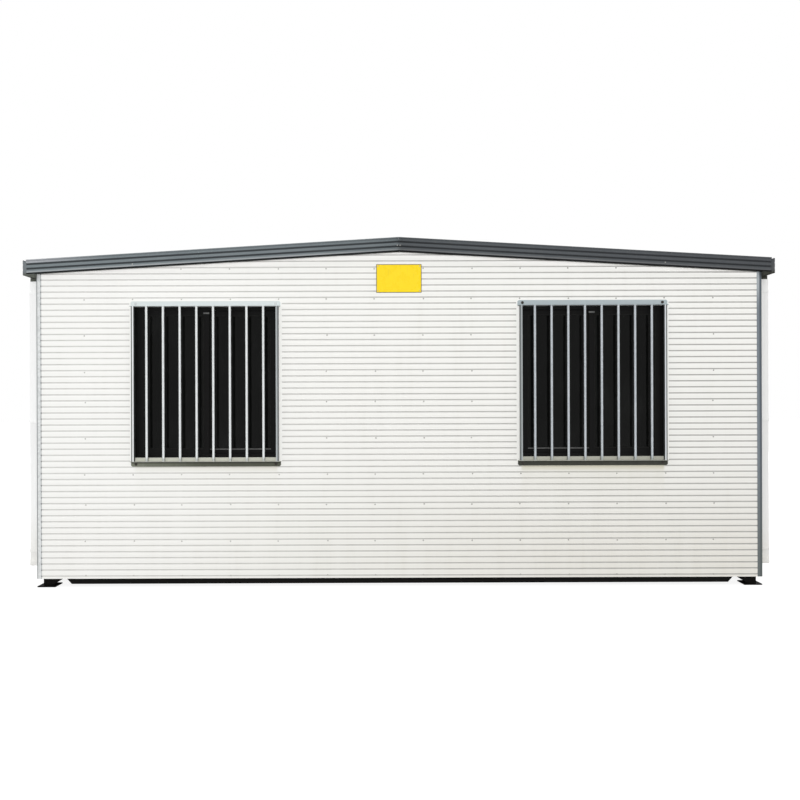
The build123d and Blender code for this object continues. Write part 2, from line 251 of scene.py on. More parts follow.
def lining_paint():
    material, shader, place = coat("lining_paint", rough=0.55)
    joint = (place.x + place.y).off_line(board_width).ramp(*board_joint)
    marks = place.noise(3, 5, 0.65)
    painted = marks.mix((0.60, 0.57, 0.50), (0.70, 0.68, 0.61))
    feed(shader, "Base Color", joint.mix((0.30, 0.28, 0.23), painted))
    feed(shader, "Roughness", marks * 0.2 + 0.45)
    feed(shader, "Normal", (joint + place.noise(90, 2) * 0.06).relief(0.002))
    return material


dress("floor_deck", sealed_ply())
lining = lining_paint()
for side in walls:
    dress(f"wall_{side}", lining)


# ---- Wall cladding ----------------------------------------------------------
# Roll-formed steel sheet laid across the studs, with a narrow groove at every rib. Each course laps
# one groove over the course below, and hex-head screws hold it at every stud. Baked cream-white
# paint, dusty near the ground and stained where water runs off the sills. It is darker to the right
# and in the grooves, partly as painted shade, and paler under the barges as painted light.
wall_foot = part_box("cladding_front")[0].z
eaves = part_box("cladding_left")[1].z
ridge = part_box("cladding_front")[1].z
# How far each wall's ribs stand from the cabin's middle
crest = {}
for side in walls:
    low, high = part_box(f"cladding_{side}")
    crest[side] = max(-low.y, high.y) if side in faces else max(-low.x, high.x)
corner_x, corner_y = crest["right"], crest["front"]
roof_fall = (ridge - eaves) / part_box("roof_panel_right")[1].x

sheet_cover, sheet_lap, sheet_gauge, sheet_end_gap = 0.850, 0.014, 0.0007, 0.004
rib_pitch, groove_height, groove_depth = 0.050, 0.021, 0.0045
rib_start = wall_foot + groove_height - rib_pitch / 2
# How deep the groove is, as a share, at these distances from its middle line
groove_shape = {0.0: 1.0, 0.0020: 1.0, 0.0036: 0.80, 0.0054: 0.20, 0.0072: 0.0}
lap_proud, lap_spring, lap_flattened = 0.0007, 0.045, 0.45
smooth_below = math.radians(38)

stud_first, stud_pitch, last_stud_gap = 0.200, 0.400, 0.1
screw_ribs = (0, 6, 12, 17, 23, 29, 34, 40, 46, 51)
screw_above_rib, bottom_screw_rise = 0.008, 0.016
screw_off_opening, screw_off_head, screw_off_roof = 0.06, 0.05, 0.06
screw_strays_along, screw_strays_up, screw_seated = 0.006, 0.002, 0.0002
screw_washer, screw_hexagon, screw_height = 0.0066, 0.0047, 0.0042
screw_points, hexagon_flat = 12, math.cos(math.pi / 6)


def skin(shape, rings, looped=False):
    """Stretches faces over closed rings of points that all have the same count."""
    rows = [[shape.verts.new(point) for point in ring] for ring in rings]
    pairs = list(zip(rows, rows[1:]))
    if looped:
        pairs.append((rows[-1], rows[0]))
    for near, far in pairs:
        for here in range(len(near)):
            shape.faces.new((near[here], near[here - 1], far[here - 1], far[here]))
    if not looped:
        shape.faces.new(rows[0])
        shape.faces.new(rows[-1])


def round_ring(seat, facing, radius, up, points, turn=0.0, flat=1.0):
    """Points round an axis on a seat, with every second one drawn in where the ring is a hexagon."""
    ring = []
    for number in range(points):
        angle = turn + math.tau * number / points
        reach = radius * (flat if number % 2 else 1)
        ring.append(seat + facing @ Vector((reach * math.cos(angle), reach * math.sin(angle), up)))
    return ring


def on_wall(wall, along, out, height):
    """A point on a wall: along it, out from its ribs' crests and above the ground, in metres."""
    if wall in faces:
        return Vector((along, faces[wall] * (crest[wall] + out), height))
    return Vector((ends[wall] * (crest[wall] + out), along, height))


def outwards(wall):
    return on_wall(wall, 0, 0, 0).normalized()


def facing_out(out):
    """The turn that stands a fastener's axis along a direction."""
    return out.to_track_quat("Z", "X").to_matrix()


def half_length(wall):
    return corner_x if wall in faces else corner_y


def wall_top(x):
    """Level of the walls' sloping top at a distance from the ridge."""
    return ridge - roof_fall * abs(x)


def openings(wall):
    """The holes in a wall's sheets, as (start, end, sill, head)."""
    names = [f"window_frame_{wall}_{end}" for end in ends] if wall in faces else []
    names += ["door_frame"] if wall == "back" else []
    boxes = [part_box(name) for name in names]
    return [(low.x, high.x, low.z, high.z) for low, high in boxes]


def set_up(name, shape, paint, stands_for=(), edge=0.0, steps=2, closed=True):
    """Turns a shape into a named piece of the cabin that stands for nodes of the frame."""
    if closed:
        bmesh.ops.recalc_face_normals(shape, faces=shape.faces)
    mesh = bpy.data.meshes.new(name)
    shape.to_mesh(mesh)
    shape.free()
    mesh.shade_smooth()
    mesh.set_sharp_from_angle(angle=smooth_below)
    mesh.materials.append(paint)
    piece = bpy.data.objects.new(name, mesh)
    bpy.context.scene.collection.objects.link(piece)
    if edge:
        round_edges(piece, edge, steps)
    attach(piece, "root")
    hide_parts(*stands_for)
    return piece


def face_towards(shape, way):
    """Turns an open sheet over if it faces away from a direction."""
    shape.normal_update()
    if sum((face.normal * face.calc_area() for face in shape.faces), Vector()).dot(Vector(way)) < 0:
        bmesh.ops.reverse_faces(shape, faces=shape.faces)


def give_gauge(piece, gauge, even=True):
    """Gives an open sheet its thickness, on the side away from its normals."""
    modifier = piece.modifiers.new("gauge", "SOLIDIFY")
    modifier.thickness = gauge
    modifier.offset = -1
    modifier.use_even_offset = even


def aged_cream(place, clouds, runs, splash, worn_and_shaded):
    """The baked paint: darker to the right as painted shade, darker low down on the right as dirt and
    painted shade, dirty low down, and paler under the barges as painted light.
    """
    paint = clouds.mix((0.852, 0.850, 0.826), (0.896, 0.895, 0.876))
    # Painted shade: the paint darkens towards the right, as if the light fell from the left.
    paint = (place.x.ramp(-3.4, 0.4) * 0.55).mix(paint, (0.790, 0.786, 0.752))
    # Dirt and painted shade: the paint is darker low down towards the right.
    low_dirt_and_shade = (1 - place.z.ramp(0.2, 2.4)) * worn_and_shaded * 0.5
    paint = low_dirt_and_shade.mix(paint, (0.700, 0.690, 0.655))
    paint = (splash * (worn_and_shaded * 0.36 + 0.10)).mix(paint, (0.62, 0.585, 0.495))
    paint = (runs.ramp(0.50, 0.85) * (worn_and_shaded * 0.12 + 0.04)).mix(paint, (0.62, 0.60, 0.53))
    specks = place.noise(130, 2, 0.5).ramp(0.70, 0.78)
    paint = (specks * 0.18).mix(paint, (0.48, 0.45, 0.38))
    # Painted light: paler paint in a band under the barges lifts the shade they cast.
    below_roof = place.z + abs(place.x) * roof_fall - ridge
    return (below_roof.ramp(-0.085, -0.050) * 0.85).mix(paint, (0.955, 0.945, 0.920))


def groove_dirt_and_shade(paint, place, clouds, runs, worn_and_shaded):
    """Adds the dirt and painted shade in each groove, heavier to the right, and a film above it that
    thickens halfway up to the next.
    """
    rib = (place.z - rib_start) % rib_pitch
    # Dirt and painted shade: darker in each groove, more so to the right.
    groove_darkening = (1 - abs(rib - rib_pitch / 2).ramp(0.002, 0.0075)) * (runs * 0.40 + worn_and_shaded * 0.44 + 0.35)
    paint = groove_darkening.mix(paint, (0.36, 0.355, 0.34))
    film = rib.ramp(rib_pitch * 0.62, rib_pitch) * clouds * (worn_and_shaded * 0.16 + 0.06)
    return film.mix(paint, (0.66, 0.63, 0.56))


def sill_stain_and_shadow(paint, place, runs, worn_and_shaded):
    """Adds the run-off below each window, darker just under its grille as stain and painted shadow, and
    darkest on its ledge; all darker to the right, partly as painted shade.
    """
    start, end, sill = openings("front")[0][:3]
    height = place.z
    from_middle = abs(abs(place.x) + (start + end) / 2)
    under = (1 - from_middle.ramp(0.575, 0.605)) * (1 - height.ramp(sill, sill + 0.003))
    below = height.ramp(sill - 0.42, sill - 0.05) * (runs * 0.5 + 0.5)
    paint = (under * below * (worn_and_shaded * 0.34 + 0.06)).mix(paint, (0.60, 0.58, 0.49))
    # Stain and painted shadow: darker on the wall just under each grille's bottom angle.
    near = height.ramp(sill - 0.125, sill - 0.088)
    paint = (under * near * (worn_and_shaded * 0.65 + 0.13)).mix(paint, (0.54, 0.52, 0.40))
    ledge = height.ramp(sill - 0.042, sill - 0.038)
    return (under * ledge * 0.85).mix(paint, worn_and_shaded.mix((0.47, 0.475, 0.40), (0.30, 0.30, 0.26)))


def cladding_paint(name, grooved=True):
    """Cream-white baked paint, darker to the right, partly wear and partly painted shade; dirt and
    painted shade lie along the ribbed sheet's grooves.
    """
    material, shader, place = coat(name, specular=0.4)
    clouds = place.stretched(1, 1, 1.6).noise(0.9, 4, 0.6)
    runs = place.stretched(1, 1, 0.09).noise(13, 5, 0.65)
    splash = (1 - place.z.ramp(0.10, 1.15)) * (clouds * 0.6 + runs * 0.7)
    # This ramp darkens the paint to the right: partly wear and partly painted shade.
    worn_and_shaded = place.x.ramp(-3.0, 3.2)
    paint = aged_cream(place, clouds, runs, splash, worn_and_shaded)
    if grooved:
        paint = groove_dirt_and_shade(paint, place, clouds, runs, worn_and_shaded)
    feed(shader, "Base Color", sill_stain_and_shadow(paint, place, runs, worn_and_shaded))
    feed(shader, "Roughness", clouds * 0.22 + splash * 0.15 + 0.30)
    dents = place.stretched(1, 1, 2.5).noise(1.7, 2) + place.noise(420, 2) * 0.012
    feed(shader, "Normal", dents.relief(0.0035))
    return material


def rib_out(height, from_edge):
    """How far the sheet stands out at this height, with its free bottom edge sprung out."""
    off = abs((height - rib_start) % rib_pitch - rib_pitch / 2)
    sunk = 0.0
    points = list(groove_shape.items())
    for (near, deep), (far, shallow) in zip(points, points[1:]):
        if near <= off <= far:
            sunk = deep + (shallow - deep) * (off - near) / (far - near)
    lap = max(0.0, 1 - from_edge / lap_spring) if height > wall_foot + sheet_lap else 0.0
    return lap_proud * lap - groove_depth * sunk * (1 - lap_flattened * lap)


def lay_course(shape, wall, bottom, top):
    """One sheet's height of cladding from end to end of a wall, cut out at the openings."""
    holes = openings(wall)
    half = half_length(wall) - sheet_end_gap
    heights = {bottom, top} | {edge for hole in holes for edge in hole[2:]}
    for number in range(int((ridge - wall_foot) / rib_pitch) + 2):
        middle = wall_foot + groove_height + number * rib_pitch
        heights |= {middle + off * way for off in list(groove_shape)[1:] for way in (-1, 1)}
    heights = sorted(z for z in heights if bottom <= z <= top)
    edges = sorted({-half, half} | {edge for hole in holes for edge in hole[:2]})
    rows = []
    for z in heights:
        out = rib_out(z, z - bottom)
        rows.append([shape.verts.new(on_wall(wall, x, out, z)) for x in edges])
    for row, z in enumerate(heights[1:]):
        for column, x in enumerate(edges[1:]):
            middle_x, middle_z = (x + edges[column]) / 2, (z + heights[row]) / 2
            if not any(a < middle_x < b and c < middle_z < d for a, b, c, d in holes):
                corners = (rows[row][column], rows[row][column + 1])
                corners += (rows[row + 1][column + 1], rows[row + 1][column])
                shape.faces.new(corners)


def clad(wall, paint):
    """A wall's courses of sheet, cut to the gable's slopes, with their gauge."""
    shape = bmesh.new()
    top = ridge if wall in faces else eaves
    for course in range(math.ceil((top - wall_foot) / sheet_cover)):
        bottom = wall_foot + course * sheet_cover
        lay_course(shape, wall, bottom, min(bottom + sheet_cover + sheet_lap, top))
    for way in (-1, 1) if wall in faces else ():
        cut = {"plane_co": (0, 0, ridge), "plane_no": (way * roof_fall, 0, 1)}
        everything = shape.verts[:] + shape.edges[:] + shape.faces[:]
        bmesh.ops.bisect_plane(shape, geom=everything, clear_outer=True, **cut)
    loose = [corner for corner in shape.verts if not corner.link_faces]
    bmesh.ops.delete(shape, geom=loose, context="VERTS")
    face_towards(shape, outwards(wall))
    name = f"ribbed_sheets_{wall}"
    piece = set_up(name, shape, paint, [f"cladding_{wall}"], closed=False)
    give_gauge(piece, sheet_gauge, even=False)
    flats = piece.modifiers.new("flats", "WEIGHTED_NORMAL")
    flats.keep_sharp = True


def screw_head(shape, seat, out, turn, washer=screw_washer, head=screw_hexagon, height=screw_height):
    """A hex washer-head screw driven home at a seat on the sheet."""
    facing = facing_out(out)
    # Each step's radius, its height and how far its flats are drawn in
    steps = (
        (washer, 0, 1),
        (washer * 0.94, 0.0011, 1),
        (head * 1.02, 0.0013, hexagon_flat),
        (head, height * 0.86, hexagon_flat),
        (head * 0.72, height, hexagon_flat),
    )
    skin(shape, [round_ring(seat, facing, radius, up, screw_points, turn, flat)
                 for radius, up, flat in steps])


def screw_places(wall):
    """A screw at every stud on the chosen ribs, clear of the openings and of the roof."""
    studs = int((half_length(wall) - stud_first - last_stud_gap) / stud_pitch) + 1
    for number in range(studs):
        for way in (-1, 1):
            along = way * (stud_first + number * stud_pitch)
            top = wall_top(along) if wall in faces else eaves
            for rib in screw_ribs:
                height = wall_foot + rib * rib_pitch + screw_above_rib
                height += bottom_screw_rise if rib == 0 else 0
                near = [start - screw_off_opening < along < end + screw_off_opening
                        and sill - screw_off_opening < height < head + screw_off_head
                        for start, end, sill, head in openings(wall)]
                if height < top - screw_off_roof and not any(near):
                    yield along, height


def screw_down(wall, paint):
    chance = random.Random(f"screws {wall}")
    shape = bmesh.new()
    for along, height in screw_places(wall):
        along += chance.uniform(-screw_strays_along, screw_strays_along)
        height += chance.uniform(-screw_strays_up, screw_strays_up)
        seat = on_wall(wall, along, -screw_seated, height)
        screw_head(shape, seat, outwards(wall), chance.uniform(0, 1))
    set_up(f"cladding_screws_{wall}", shape, paint)


def screw_zinc():
    material, shader, place = coat("screw_zinc", metal=0.6, rough=0.5)
    age = place.noise(55, 3, 0.6)
    bright = age.mix((0.40, 0.395, 0.375), (0.66, 0.65, 0.62))
    dull = age.mix((0.24, 0.235, 0.22), (0.54, 0.53, 0.50))
    feed(shader, "Base Color", place.x.ramp(-2.0, 1.5).mix(bright, dull))
    feed(shader, "Roughness", age * 0.3 + 0.35)
    feed(shader, "Normal", place.noise(900, 2).relief(0.0002))
    return material


sheet_paint = cladding_paint("cladding_paint")
screw_paint = screw_zinc()
for side in walls:
    clad(side, sheet_paint)
    screw_down(side, screw_paint)


# ---- Opening trims ----------------------------------------------------------
# A folded flange round each window and the door, riveted over the cut edges of the ribbed sheet and
# returned into the opening. Smooth sheet in the cladding's colour, stained below the sills.
trim_flange, trim_gauge = 0.030, 0.0011
trim_tuck, trim_clear = 0.0008, 0.0012
window_return, door_return, trim_edge = 0.0195, 0.0003, 0.0005
# The door comes after the two windows of its wall
trim_rivet_pitch, door_place = 0.38, 2
rivet_points, rivet_radius, rivet_height = 10, 0.0042, 0.0018
# A blind rivet's dome from its rim to its mandrel hole, as shares of its radius and height
rivet_dome = ((1, 0), (0.9, 0.45), (0.62, 0.85), (0.34, 1), (0.26, 0.7))


def opening_ring(wall, hole, margin, out):
    """The four corners of an opening, let out by a margin."""
    start, end, sill, head = hole
    corners = ((start - margin, sill - margin), (end + margin, sill - margin))
    corners += ((end + margin, head + margin), (start - margin, head + margin))
    return [on_wall(wall, along, out, height) for along, height in corners]


def frame_round(shape, wall, hole, steps):
    """A closed section carried round an opening, from steps of margin and distance out."""
    skin(shape, [opening_ring(wall, hole, margin, out) for margin, out in steps], looped=True)


def trim_opening(wall, hole, name, paint, deep):
    shape = bmesh.new()
    frame_round(shape, wall, hole, (
        (trim_flange, -trim_tuck), (trim_flange, trim_gauge), (-trim_clear, trim_gauge),
        (-trim_clear, -deep), (0.0, -deep), (0.0, -trim_tuck),
    ))
    set_up(name, shape, paint, edge=trim_edge, steps=1)


def rivet(shape, seat, out, radius=rivet_radius, height=rivet_height):
    """The domed head of a blind rivet with its mandrel hole."""
    facing = facing_out(out)
    skin(shape, [round_ring(seat, facing, radius * reach, height * up, rivet_points)
                 for reach, up in rivet_dome])


def rivet_trim(wall, hole, shape):
    """Evenly spaced rivets along the middle of a trim's flange: sill and head, then the two sides."""
    start, end, sill, head = hole
    middle = trim_flange / 2
    across = max(2, round((end - start) / trim_rivet_pitch))
    up = max(2, round((head - sill) / trim_rivet_pitch))
    places = [(start + (end - start) * number / across, height)
              for number in range(across + 1) for height in (sill - middle, head + middle)]
    places += [(along, sill + (head - sill) * number / up)
               for number in range(1, up) for along in (start - middle, end + middle)]
    for along, height in places:
        rivet(shape, on_wall(wall, along, trim_gauge, height), outwards(wall))


trim_paint = cladding_paint("trim_paint", grooved=False)
for side in faces:
    rivets = bmesh.new()
    for number, hole in enumerate(openings(side)):
        deep = door_return if number == door_place else window_return
        trim_opening(side, hole, f"opening_trim_{side}_{number + 1}", trim_paint, deep)
        rivet_trim(side, hole, rivets)
    set_up(f"trim_rivets_{side}", rivets, trim_paint)


# ---- Corner flashings -------------------------------------------------------
# Galvanised angles folded from flat sheet over the ends of the ribbed sheets, with hemmed edges and
# a few rivets. The ones at the right-hand end are a dull blue-grey as painted shade, and the
# left-hand ones pale as painted light.
flashing_gauge, flashing_hem, flashing_bend, flashing_over = 0.0010, 0.007, 0.0025, 0.002
hem_thickness, flashing_edge = flashing_gauge * 2 - 0.0001, 0.0003
flashing_rivets, rivet_across = (0.045, 0.89, 1.74, 2.50), 0.45
flashing_low, flashing_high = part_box("corner_flashing_front_right")
flashing_leg = flashing_high.x - flashing_low.x


def bar(shape, axis, low, high, outline):
    """A straight bar of one section along an axis; the section's points are on the other two."""
    def place(level, first, second):
        spot = [first, second]
        spot.insert("xyz".index(axis), level)
        return spot

    skin(shape, [[place(level, *point) for point in outline] for level in sorted((low, high))])


def furthest(low, high):
    """How far a box reaches from the cabin's middle, from its two limits along an axis."""
    return max(abs(low), abs(high))


def shaded_flashing():
    """Dull blue-grey flashing, darker at the corner as painted shade, and paler near the eaves."""
    material, shader, place = coat("flashing_shaded", metal=0.4, rough=0.5)
    inwards = corner_x + flashing_over - abs(place.x)
    streaks = place.stretched(1, 1, 0.12).noise(45, 4, 0.65)
    # Painted shade: the flashing is darker towards its corner.
    paler = inwards.ramp(flashing_leg * 0.35, flashing_leg * 0.60)
    top = place.z.ramp(eaves - 0.35, eaves - 0.10) * paler
    body = paler.mix((0.085, 0.102, 0.120), (0.180, 0.208, 0.235))
    body = (top * 0.6).mix(body, (0.52, 0.56, 0.58))
    algae = (1 - place.z.ramp(0.15, 1.3)) * (streaks * 0.5 + 0.5)
    body = (algae * 0.8).mix(body, (0.085, 0.095, 0.080))
    feed(shader, "Base Color", (streaks.ramp(0.5, 0.85) * 0.4).mix(body, (0.16, 0.165, 0.17)))
    feed(shader, "Roughness", streaks * 0.25 + 0.40)
    feed(shader, "Normal", (place.spangle(70) * 0.3 + streaks * 0.4).relief(0.0003))
    return material


def lit_flashing():
    """Bright flashing, with painted shade in a line at the corner and in the gaps over the grooves at
    its inner edge.
    """
    material, shader, place = coat("flashing_lit", metal=0.3, rough=0.5)
    inwards = corner_x + flashing_over - abs(place.x)
    # Painted shade: dark gaps between the flashing's inner edge and the sheet's grooves.
    gap_shade = 1 - (place.z - rib_start).off_line(rib_pitch).ramp(0.004, 0.008)
    gap_shade = (gap_shade * 0.6 + 0.4) * inwards.ramp(flashing_leg - 0.010, flashing_leg - 0.006)
    # Painted shade: a dark line along the bent corner.
    corner = 1 - inwards.ramp(0.005, 0.010)
    spangle = place.spangle(70)
    zinc = spangle.mix((0.58, 0.60, 0.60), (0.74, 0.755, 0.755))
    feed(shader, "Base Color", (corner.most(gap_shade) * 0.85).mix(zinc, (0.13, 0.14, 0.145)))
    feed(shader, "Roughness", spangle * 0.15 + place.noise(5, 5, 0.65) * 0.2 + 0.34)
    feed(shader, "Normal", (spangle * 0.3).relief(0.0003))
    return material


def fold_flashing(face, end, paint):
    """A hemmed angle with a bent corner, and rivets down the middle of both its legs."""
    node = f"corner_flashing_{face}_{end}"
    low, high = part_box(node)
    to_end, to_face = ends[end], faces[face]
    edge_x, edge_y = to_end * furthest(low.x, high.x), to_face * furthest(low.y, high.y)
    leg, gauge, hem_end = high.x - low.x, flashing_gauge, high.x - low.x - flashing_hem
    turns = [math.radians(step) for step in (0, 22.5, 45, 67.5, 90)]
    outline = [(leg, 0.0)]
    outline += [(flashing_bend * (1 - math.sin(a)), flashing_bend * (1 - math.cos(a))) for a in turns]
    outline += [(0.0, leg), (hem_thickness, leg), (hem_thickness, hem_end), (gauge, hem_end)]
    outline += [(gauge, gauge), (hem_end, gauge), (hem_end, hem_thickness), (leg, hem_thickness)]
    shape = bmesh.new()
    section = [(edge_x - to_end * along, edge_y - to_face * back) for along, back in outline]
    bar(shape, "z", low.z, high.z, section)
    inset = (leg - gauge) * rivet_across
    for height in flashing_rivets:
        on_face = Vector((edge_x - to_end * inset, edge_y, low.z + height))
        rivet(shape, on_face, Vector((0, to_face, 0)))
        on_end = Vector((edge_x, edge_y - to_face * inset, low.z + height))
        rivet(shape, on_end, Vector((to_end, 0, 0)))
    set_up(f"folded_{node}", shape, paint, [node], flashing_edge, steps=1)


# The right-hand flashings are a shaded copy of the left-hand ones: painted shade.
flashing_zinc = {"left": lit_flashing(), "right": shaded_flashing()}
for face in faces:
    for end in ends:
        fold_flashing(face, end, flashing_zinc[end])


# ---- Windows ----------------------------------------------------------------
# Sliding windows of black powder-coated aluminium. The outer sash is towards the cabin's end and
# the inner one towards its middle, each with a dark tinted pane held by a rubber bead.
frame_border, sash_rail, meeting_stile = 0.030, 0.040, 0.045
outer_sash_out, inner_sash_out = -0.028, -0.048
bead_width, bead_proud, bead_lap, frame_edge = 0.007, 0.0016, 0.002, 0.0012
# A glazing bead's section: how far outside the pane's edge, and how far out from the sash
bead_section = (
    (bead_lap, -0.002), (bead_lap, bead_proud * 0.6), (0.0, bead_proud),
    (-bead_width, -0.003), (-bead_width, -0.006),
)
# Each fitting's back and front, out from the ribs' crests, and the chamfer round its front
drain_cap, edge_strip = (-0.021, -0.0185, 0.001), (-0.052, -0.0465, 0.0006)
latch_body, latch_thumb = (-0.0285, -0.0235, 0.002), (-0.024, -0.0205, 0.001)
drain_inset, drain_half_length, drain_foot, drain_top = 0.2, 0.018, 0.008, 0.016
strip_below_glass, strip_over_glass = 0.0045, 0.0005
latch_below_head, latch_half_length, latch_half_height = 0.052, 0.025, 0.007
thumb_near, thumb_far, thumb_half_height = 0.004, 0.020, 0.004


def powder_coat():
    material, shader, place = coat("black_powder_coat", specular=0.10)
    dust = place.noise(7, 5, 0.7).ramp(0.45, 0.8)
    feed(shader, "Base Color", (dust * 0.20).mix((0.0030, 0.0030, 0.0030), (0.018, 0.0175, 0.016)))
    feed(shader, "Roughness", dust * 0.2 + 0.42)
    feed(shader, "Normal", place.noise(900, 2).relief(0.00008))
    return material


def tinted_glass():
    material, shader, place = coat("dark_tinted_glass", rough=0.04, specular=0.10)
    smear = place.stretched(1, 1, 0.4).noise(4, 5, 0.7).ramp(0.45, 0.85)
    feed(shader, "Base Color", smear.mix((0.0030, 0.0032, 0.0030), (0.0085, 0.0090, 0.0086)))
    feed(shader, "Roughness", smear * 0.10 + 0.03)
    feed(shader, "Alpha", 0.94)
    feed(shader, "Normal", place.noise(1.3, 1).relief(0.0004))
    return material


def black_rubber():
    material, shader, place = coat("black_rubber", rough=0.75, specular=0.15)
    feed(shader, "Base Color", place.noise(60, 3).mix((0.004, 0.004, 0.004), (0.012, 0.012, 0.011)))
    feed(shader, "Normal", place.noise(300, 2).relief(0.0001))
    return material


def mill_aluminium():
    """Plain drawn aluminium, darker high up."""
    material, shader, place = coat("mill_aluminium", metal=0.5, rough=0.45)
    drawn = place.stretched(0.06, 1, 1).noise(500, 2)
    metal = drawn.mix((0.17, 0.17, 0.165), (0.27, 0.27, 0.265))
    feed(shader, "Base Color", (place.z.ramp(1.5, 2.0) * 0.6).mix(metal, (0.05, 0.05, 0.05)))
    feed(shader, "Roughness", drawn * 0.15 + 0.38)
    return material


def pane_of(hole, end, inner):
    """The glass that shows in a sash, as (start, end, sill, head)."""
    start, stop, sill, head = hole
    border = frame_border + sash_rail
    way = -1 if inner else 1
    near, far = way * meeting_stile / 2, way * ((stop - start) / 2 - border)
    middle = (start + stop) / 2
    sides = sorted((middle + ends[end] * near, middle + ends[end] * far))
    return (*sides, sill + border, head - border)


def block(shape, wall, area, back, front, chamfer):
    """A plate against a wall, chamfered round its outer face; its area is like an opening's."""
    steps = ((0.0, back), (0.0, front - chamfer), (-chamfer, front))
    skin(shape, [opening_ring(wall, area, margin, out) for margin, out in steps])


def bead_pane(shape, wall, pane, sash_out):
    frame_round(shape, wall, pane, [(margin, sash_out + out) for margin, out in bead_section])


def fit_window(wall, end, rubber, aluminium):
    """A window's glazing beads and drain caps, the inner sash's edge strip, and the latch."""
    hole = openings(wall)[list(ends).index(end)]
    start, stop, sill, head = hole
    middle, way = (start + stop) / 2, ends[end]
    outer, inner = pane_of(hole, end, False), pane_of(hole, end, True)
    beads = bmesh.new()
    bead_pane(beads, wall, outer, outer_sash_out)
    bead_pane(beads, wall, inner, inner_sash_out)
    for along in (start + drain_inset, middle, stop - drain_inset):
        cap = (along - drain_half_length, along + drain_half_length, sill + drain_foot, sill + drain_top)
        block(beads, wall, cap, *drain_cap)
    set_up(f"glazing_beads_{wall}_{end}", beads, rubber)

    strip = bmesh.new()
    foot = (inner[0], inner[1], inner[2] - strip_below_glass, inner[2] + strip_over_glass)
    block(strip, wall, foot, *edge_strip)
    set_up(f"sash_edge_strip_{wall}_{end}", strip, aluminium)

    latch = bmesh.new()
    level = head - latch_below_head
    body = (middle - latch_half_length, middle + latch_half_length,
            level - latch_half_height, level + latch_half_height)
    block(latch, wall, body, *latch_body)
    sides = sorted((middle + way * thumb_near, middle + way * thumb_far))
    block(latch, wall, (*sides, level - thumb_half_height, level + thumb_half_height), *latch_thumb)
    set_up(f"sash_latch_{wall}_{end}", latch, aluminium)


rubber, aluminium = black_rubber(), mill_aluminium()
frame_coat, pane_glass = powder_coat(), tinted_glass()
for face in faces:
    dress(f"window_glass_{face}", pane_glass)
    for end in ends:
        dress(f"window_frame_{face}_{end}", frame_coat, frame_edge)
        fit_window(face, end, rubber, aluminium)


# ---- Security grilles -------------------------------------------------------
# An angle above and below each window, flat sides and round bars, welded up and hot-dip galvanised,
# then bolted through the wall. Grime and algae lie under the bottom angle's ledge, darkened further
# as painted shadow, and the zinc is darker to the right as painted shade.
grille_leg, grille_plate, grille_snip, shelf_snip = 0.045, 0.004, 0.011, 0.004
side_width, side_inset = 0.020, 0.015
grille_low, grille_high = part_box("grille_front_right")
grille_middle = (grille_low.x + grille_high.x) / 2
grille_ledge, grille_lintel = grille_low.z + grille_leg, grille_high.z - grille_leg
grille_out = crest["front"] + grille_leg
side_outer = (grille_high.x - grille_low.x) / 2 - side_inset
grille_bar, grille_bar_pitch, grille_bars, bar_points = 0.010, 0.1375, 8, 20
bar_out = grille_leg - grille_bar - grille_plate / 2
bolt_from_end, bolt_from_heel = 0.041, 0.024
bolt_washer, bolt_hexagon, bolt_height, grille_edge = 0.0125, 0.0095, 0.0075, 0.0008
bar_into_angle = 0.001
# A weld bead from the angle up the bar: what it adds to the bar's radius, its height, its roughness
weld_bead = (
    (-0.001, -0.0008, 0.0), (0.0038, 0, 0.0008), (0.0026, 0.0022, 0.0006), (0.0002, 0.0050, 0.0002),
)


def grille_zinc():
    """Zinc, darker to the right as painted shade, with grime on its foot and a leg hung below the ledge
    that is dirty and darkened as painted shade.
    """
    material, shader, place = coat("grille_zinc", metal=0.35, rough=0.45, specular=0.25)
    spangle = place.spangle(95)
    oxide = place.noise(7, 5, 0.65)
    grime = place.stretched(1, 1, 0.35).noise(24, 4, 0.65)
    height = place.z
    # This ramp darkens the zinc to the right: painted shade.
    worn_and_shaded = place.x.ramp(-1.2, 1.0)
    hung = 1 - height.ramp(grille_ledge - 0.006, grille_ledge - 0.001)
    crystals = spangle * 0.5 + oxide * 0.5
    bright = crystals.mix((0.66, 0.69, 0.69), (0.84, 0.86, 0.86))
    dull = crystals.mix((0.38, 0.415, 0.44), (0.58, 0.61, 0.64))
    colour = (grime.ramp(0.55, 0.8) * 0.25).mix(worn_and_shaded.mix(bright, dull), (0.38, 0.38, 0.33))
    # The top angle's leg, darker to the right as painted shade.
    lintel_colour = worn_and_shaded.mix((0.62, 0.68, 0.68), (0.36, 0.42, 0.435))
    colour = (height.ramp(grille_lintel - 0.001, grille_lintel) * 0.75).mix(colour, lintel_colour)
    dusty = grime.mix((0.38, 0.38, 0.315), (0.58, 0.58, 0.52))
    colour = ((1 - height.ramp(grille_ledge, grille_ledge + 0.003)) * 0.90).mix(colour, dusty)
    foot = height.ramp(grille_ledge, grille_ledge + 0.002)
    foot = foot * (1 - height.ramp(grille_ledge + 0.012, grille_ledge + 0.040))
    colour = (foot * 0.55).mix(colour, (0.25, 0.27, 0.235))
    stain = leg_stain_and_shadow(place, grime, worn_and_shaded)
    feed(shader, "Base Color", (hung * 0.985).mix(colour, stain))
    feed(shader, "Roughness", oxide * 0.25 + spangle * 0.1 + 0.30)
    feed(shader, "Metallic", (1 - hung) * 0.35)
    feed(shader, "Normal", (spangle * 0.3 + place.noise(220, 3) * 0.5).relief(0.00035))
    return material


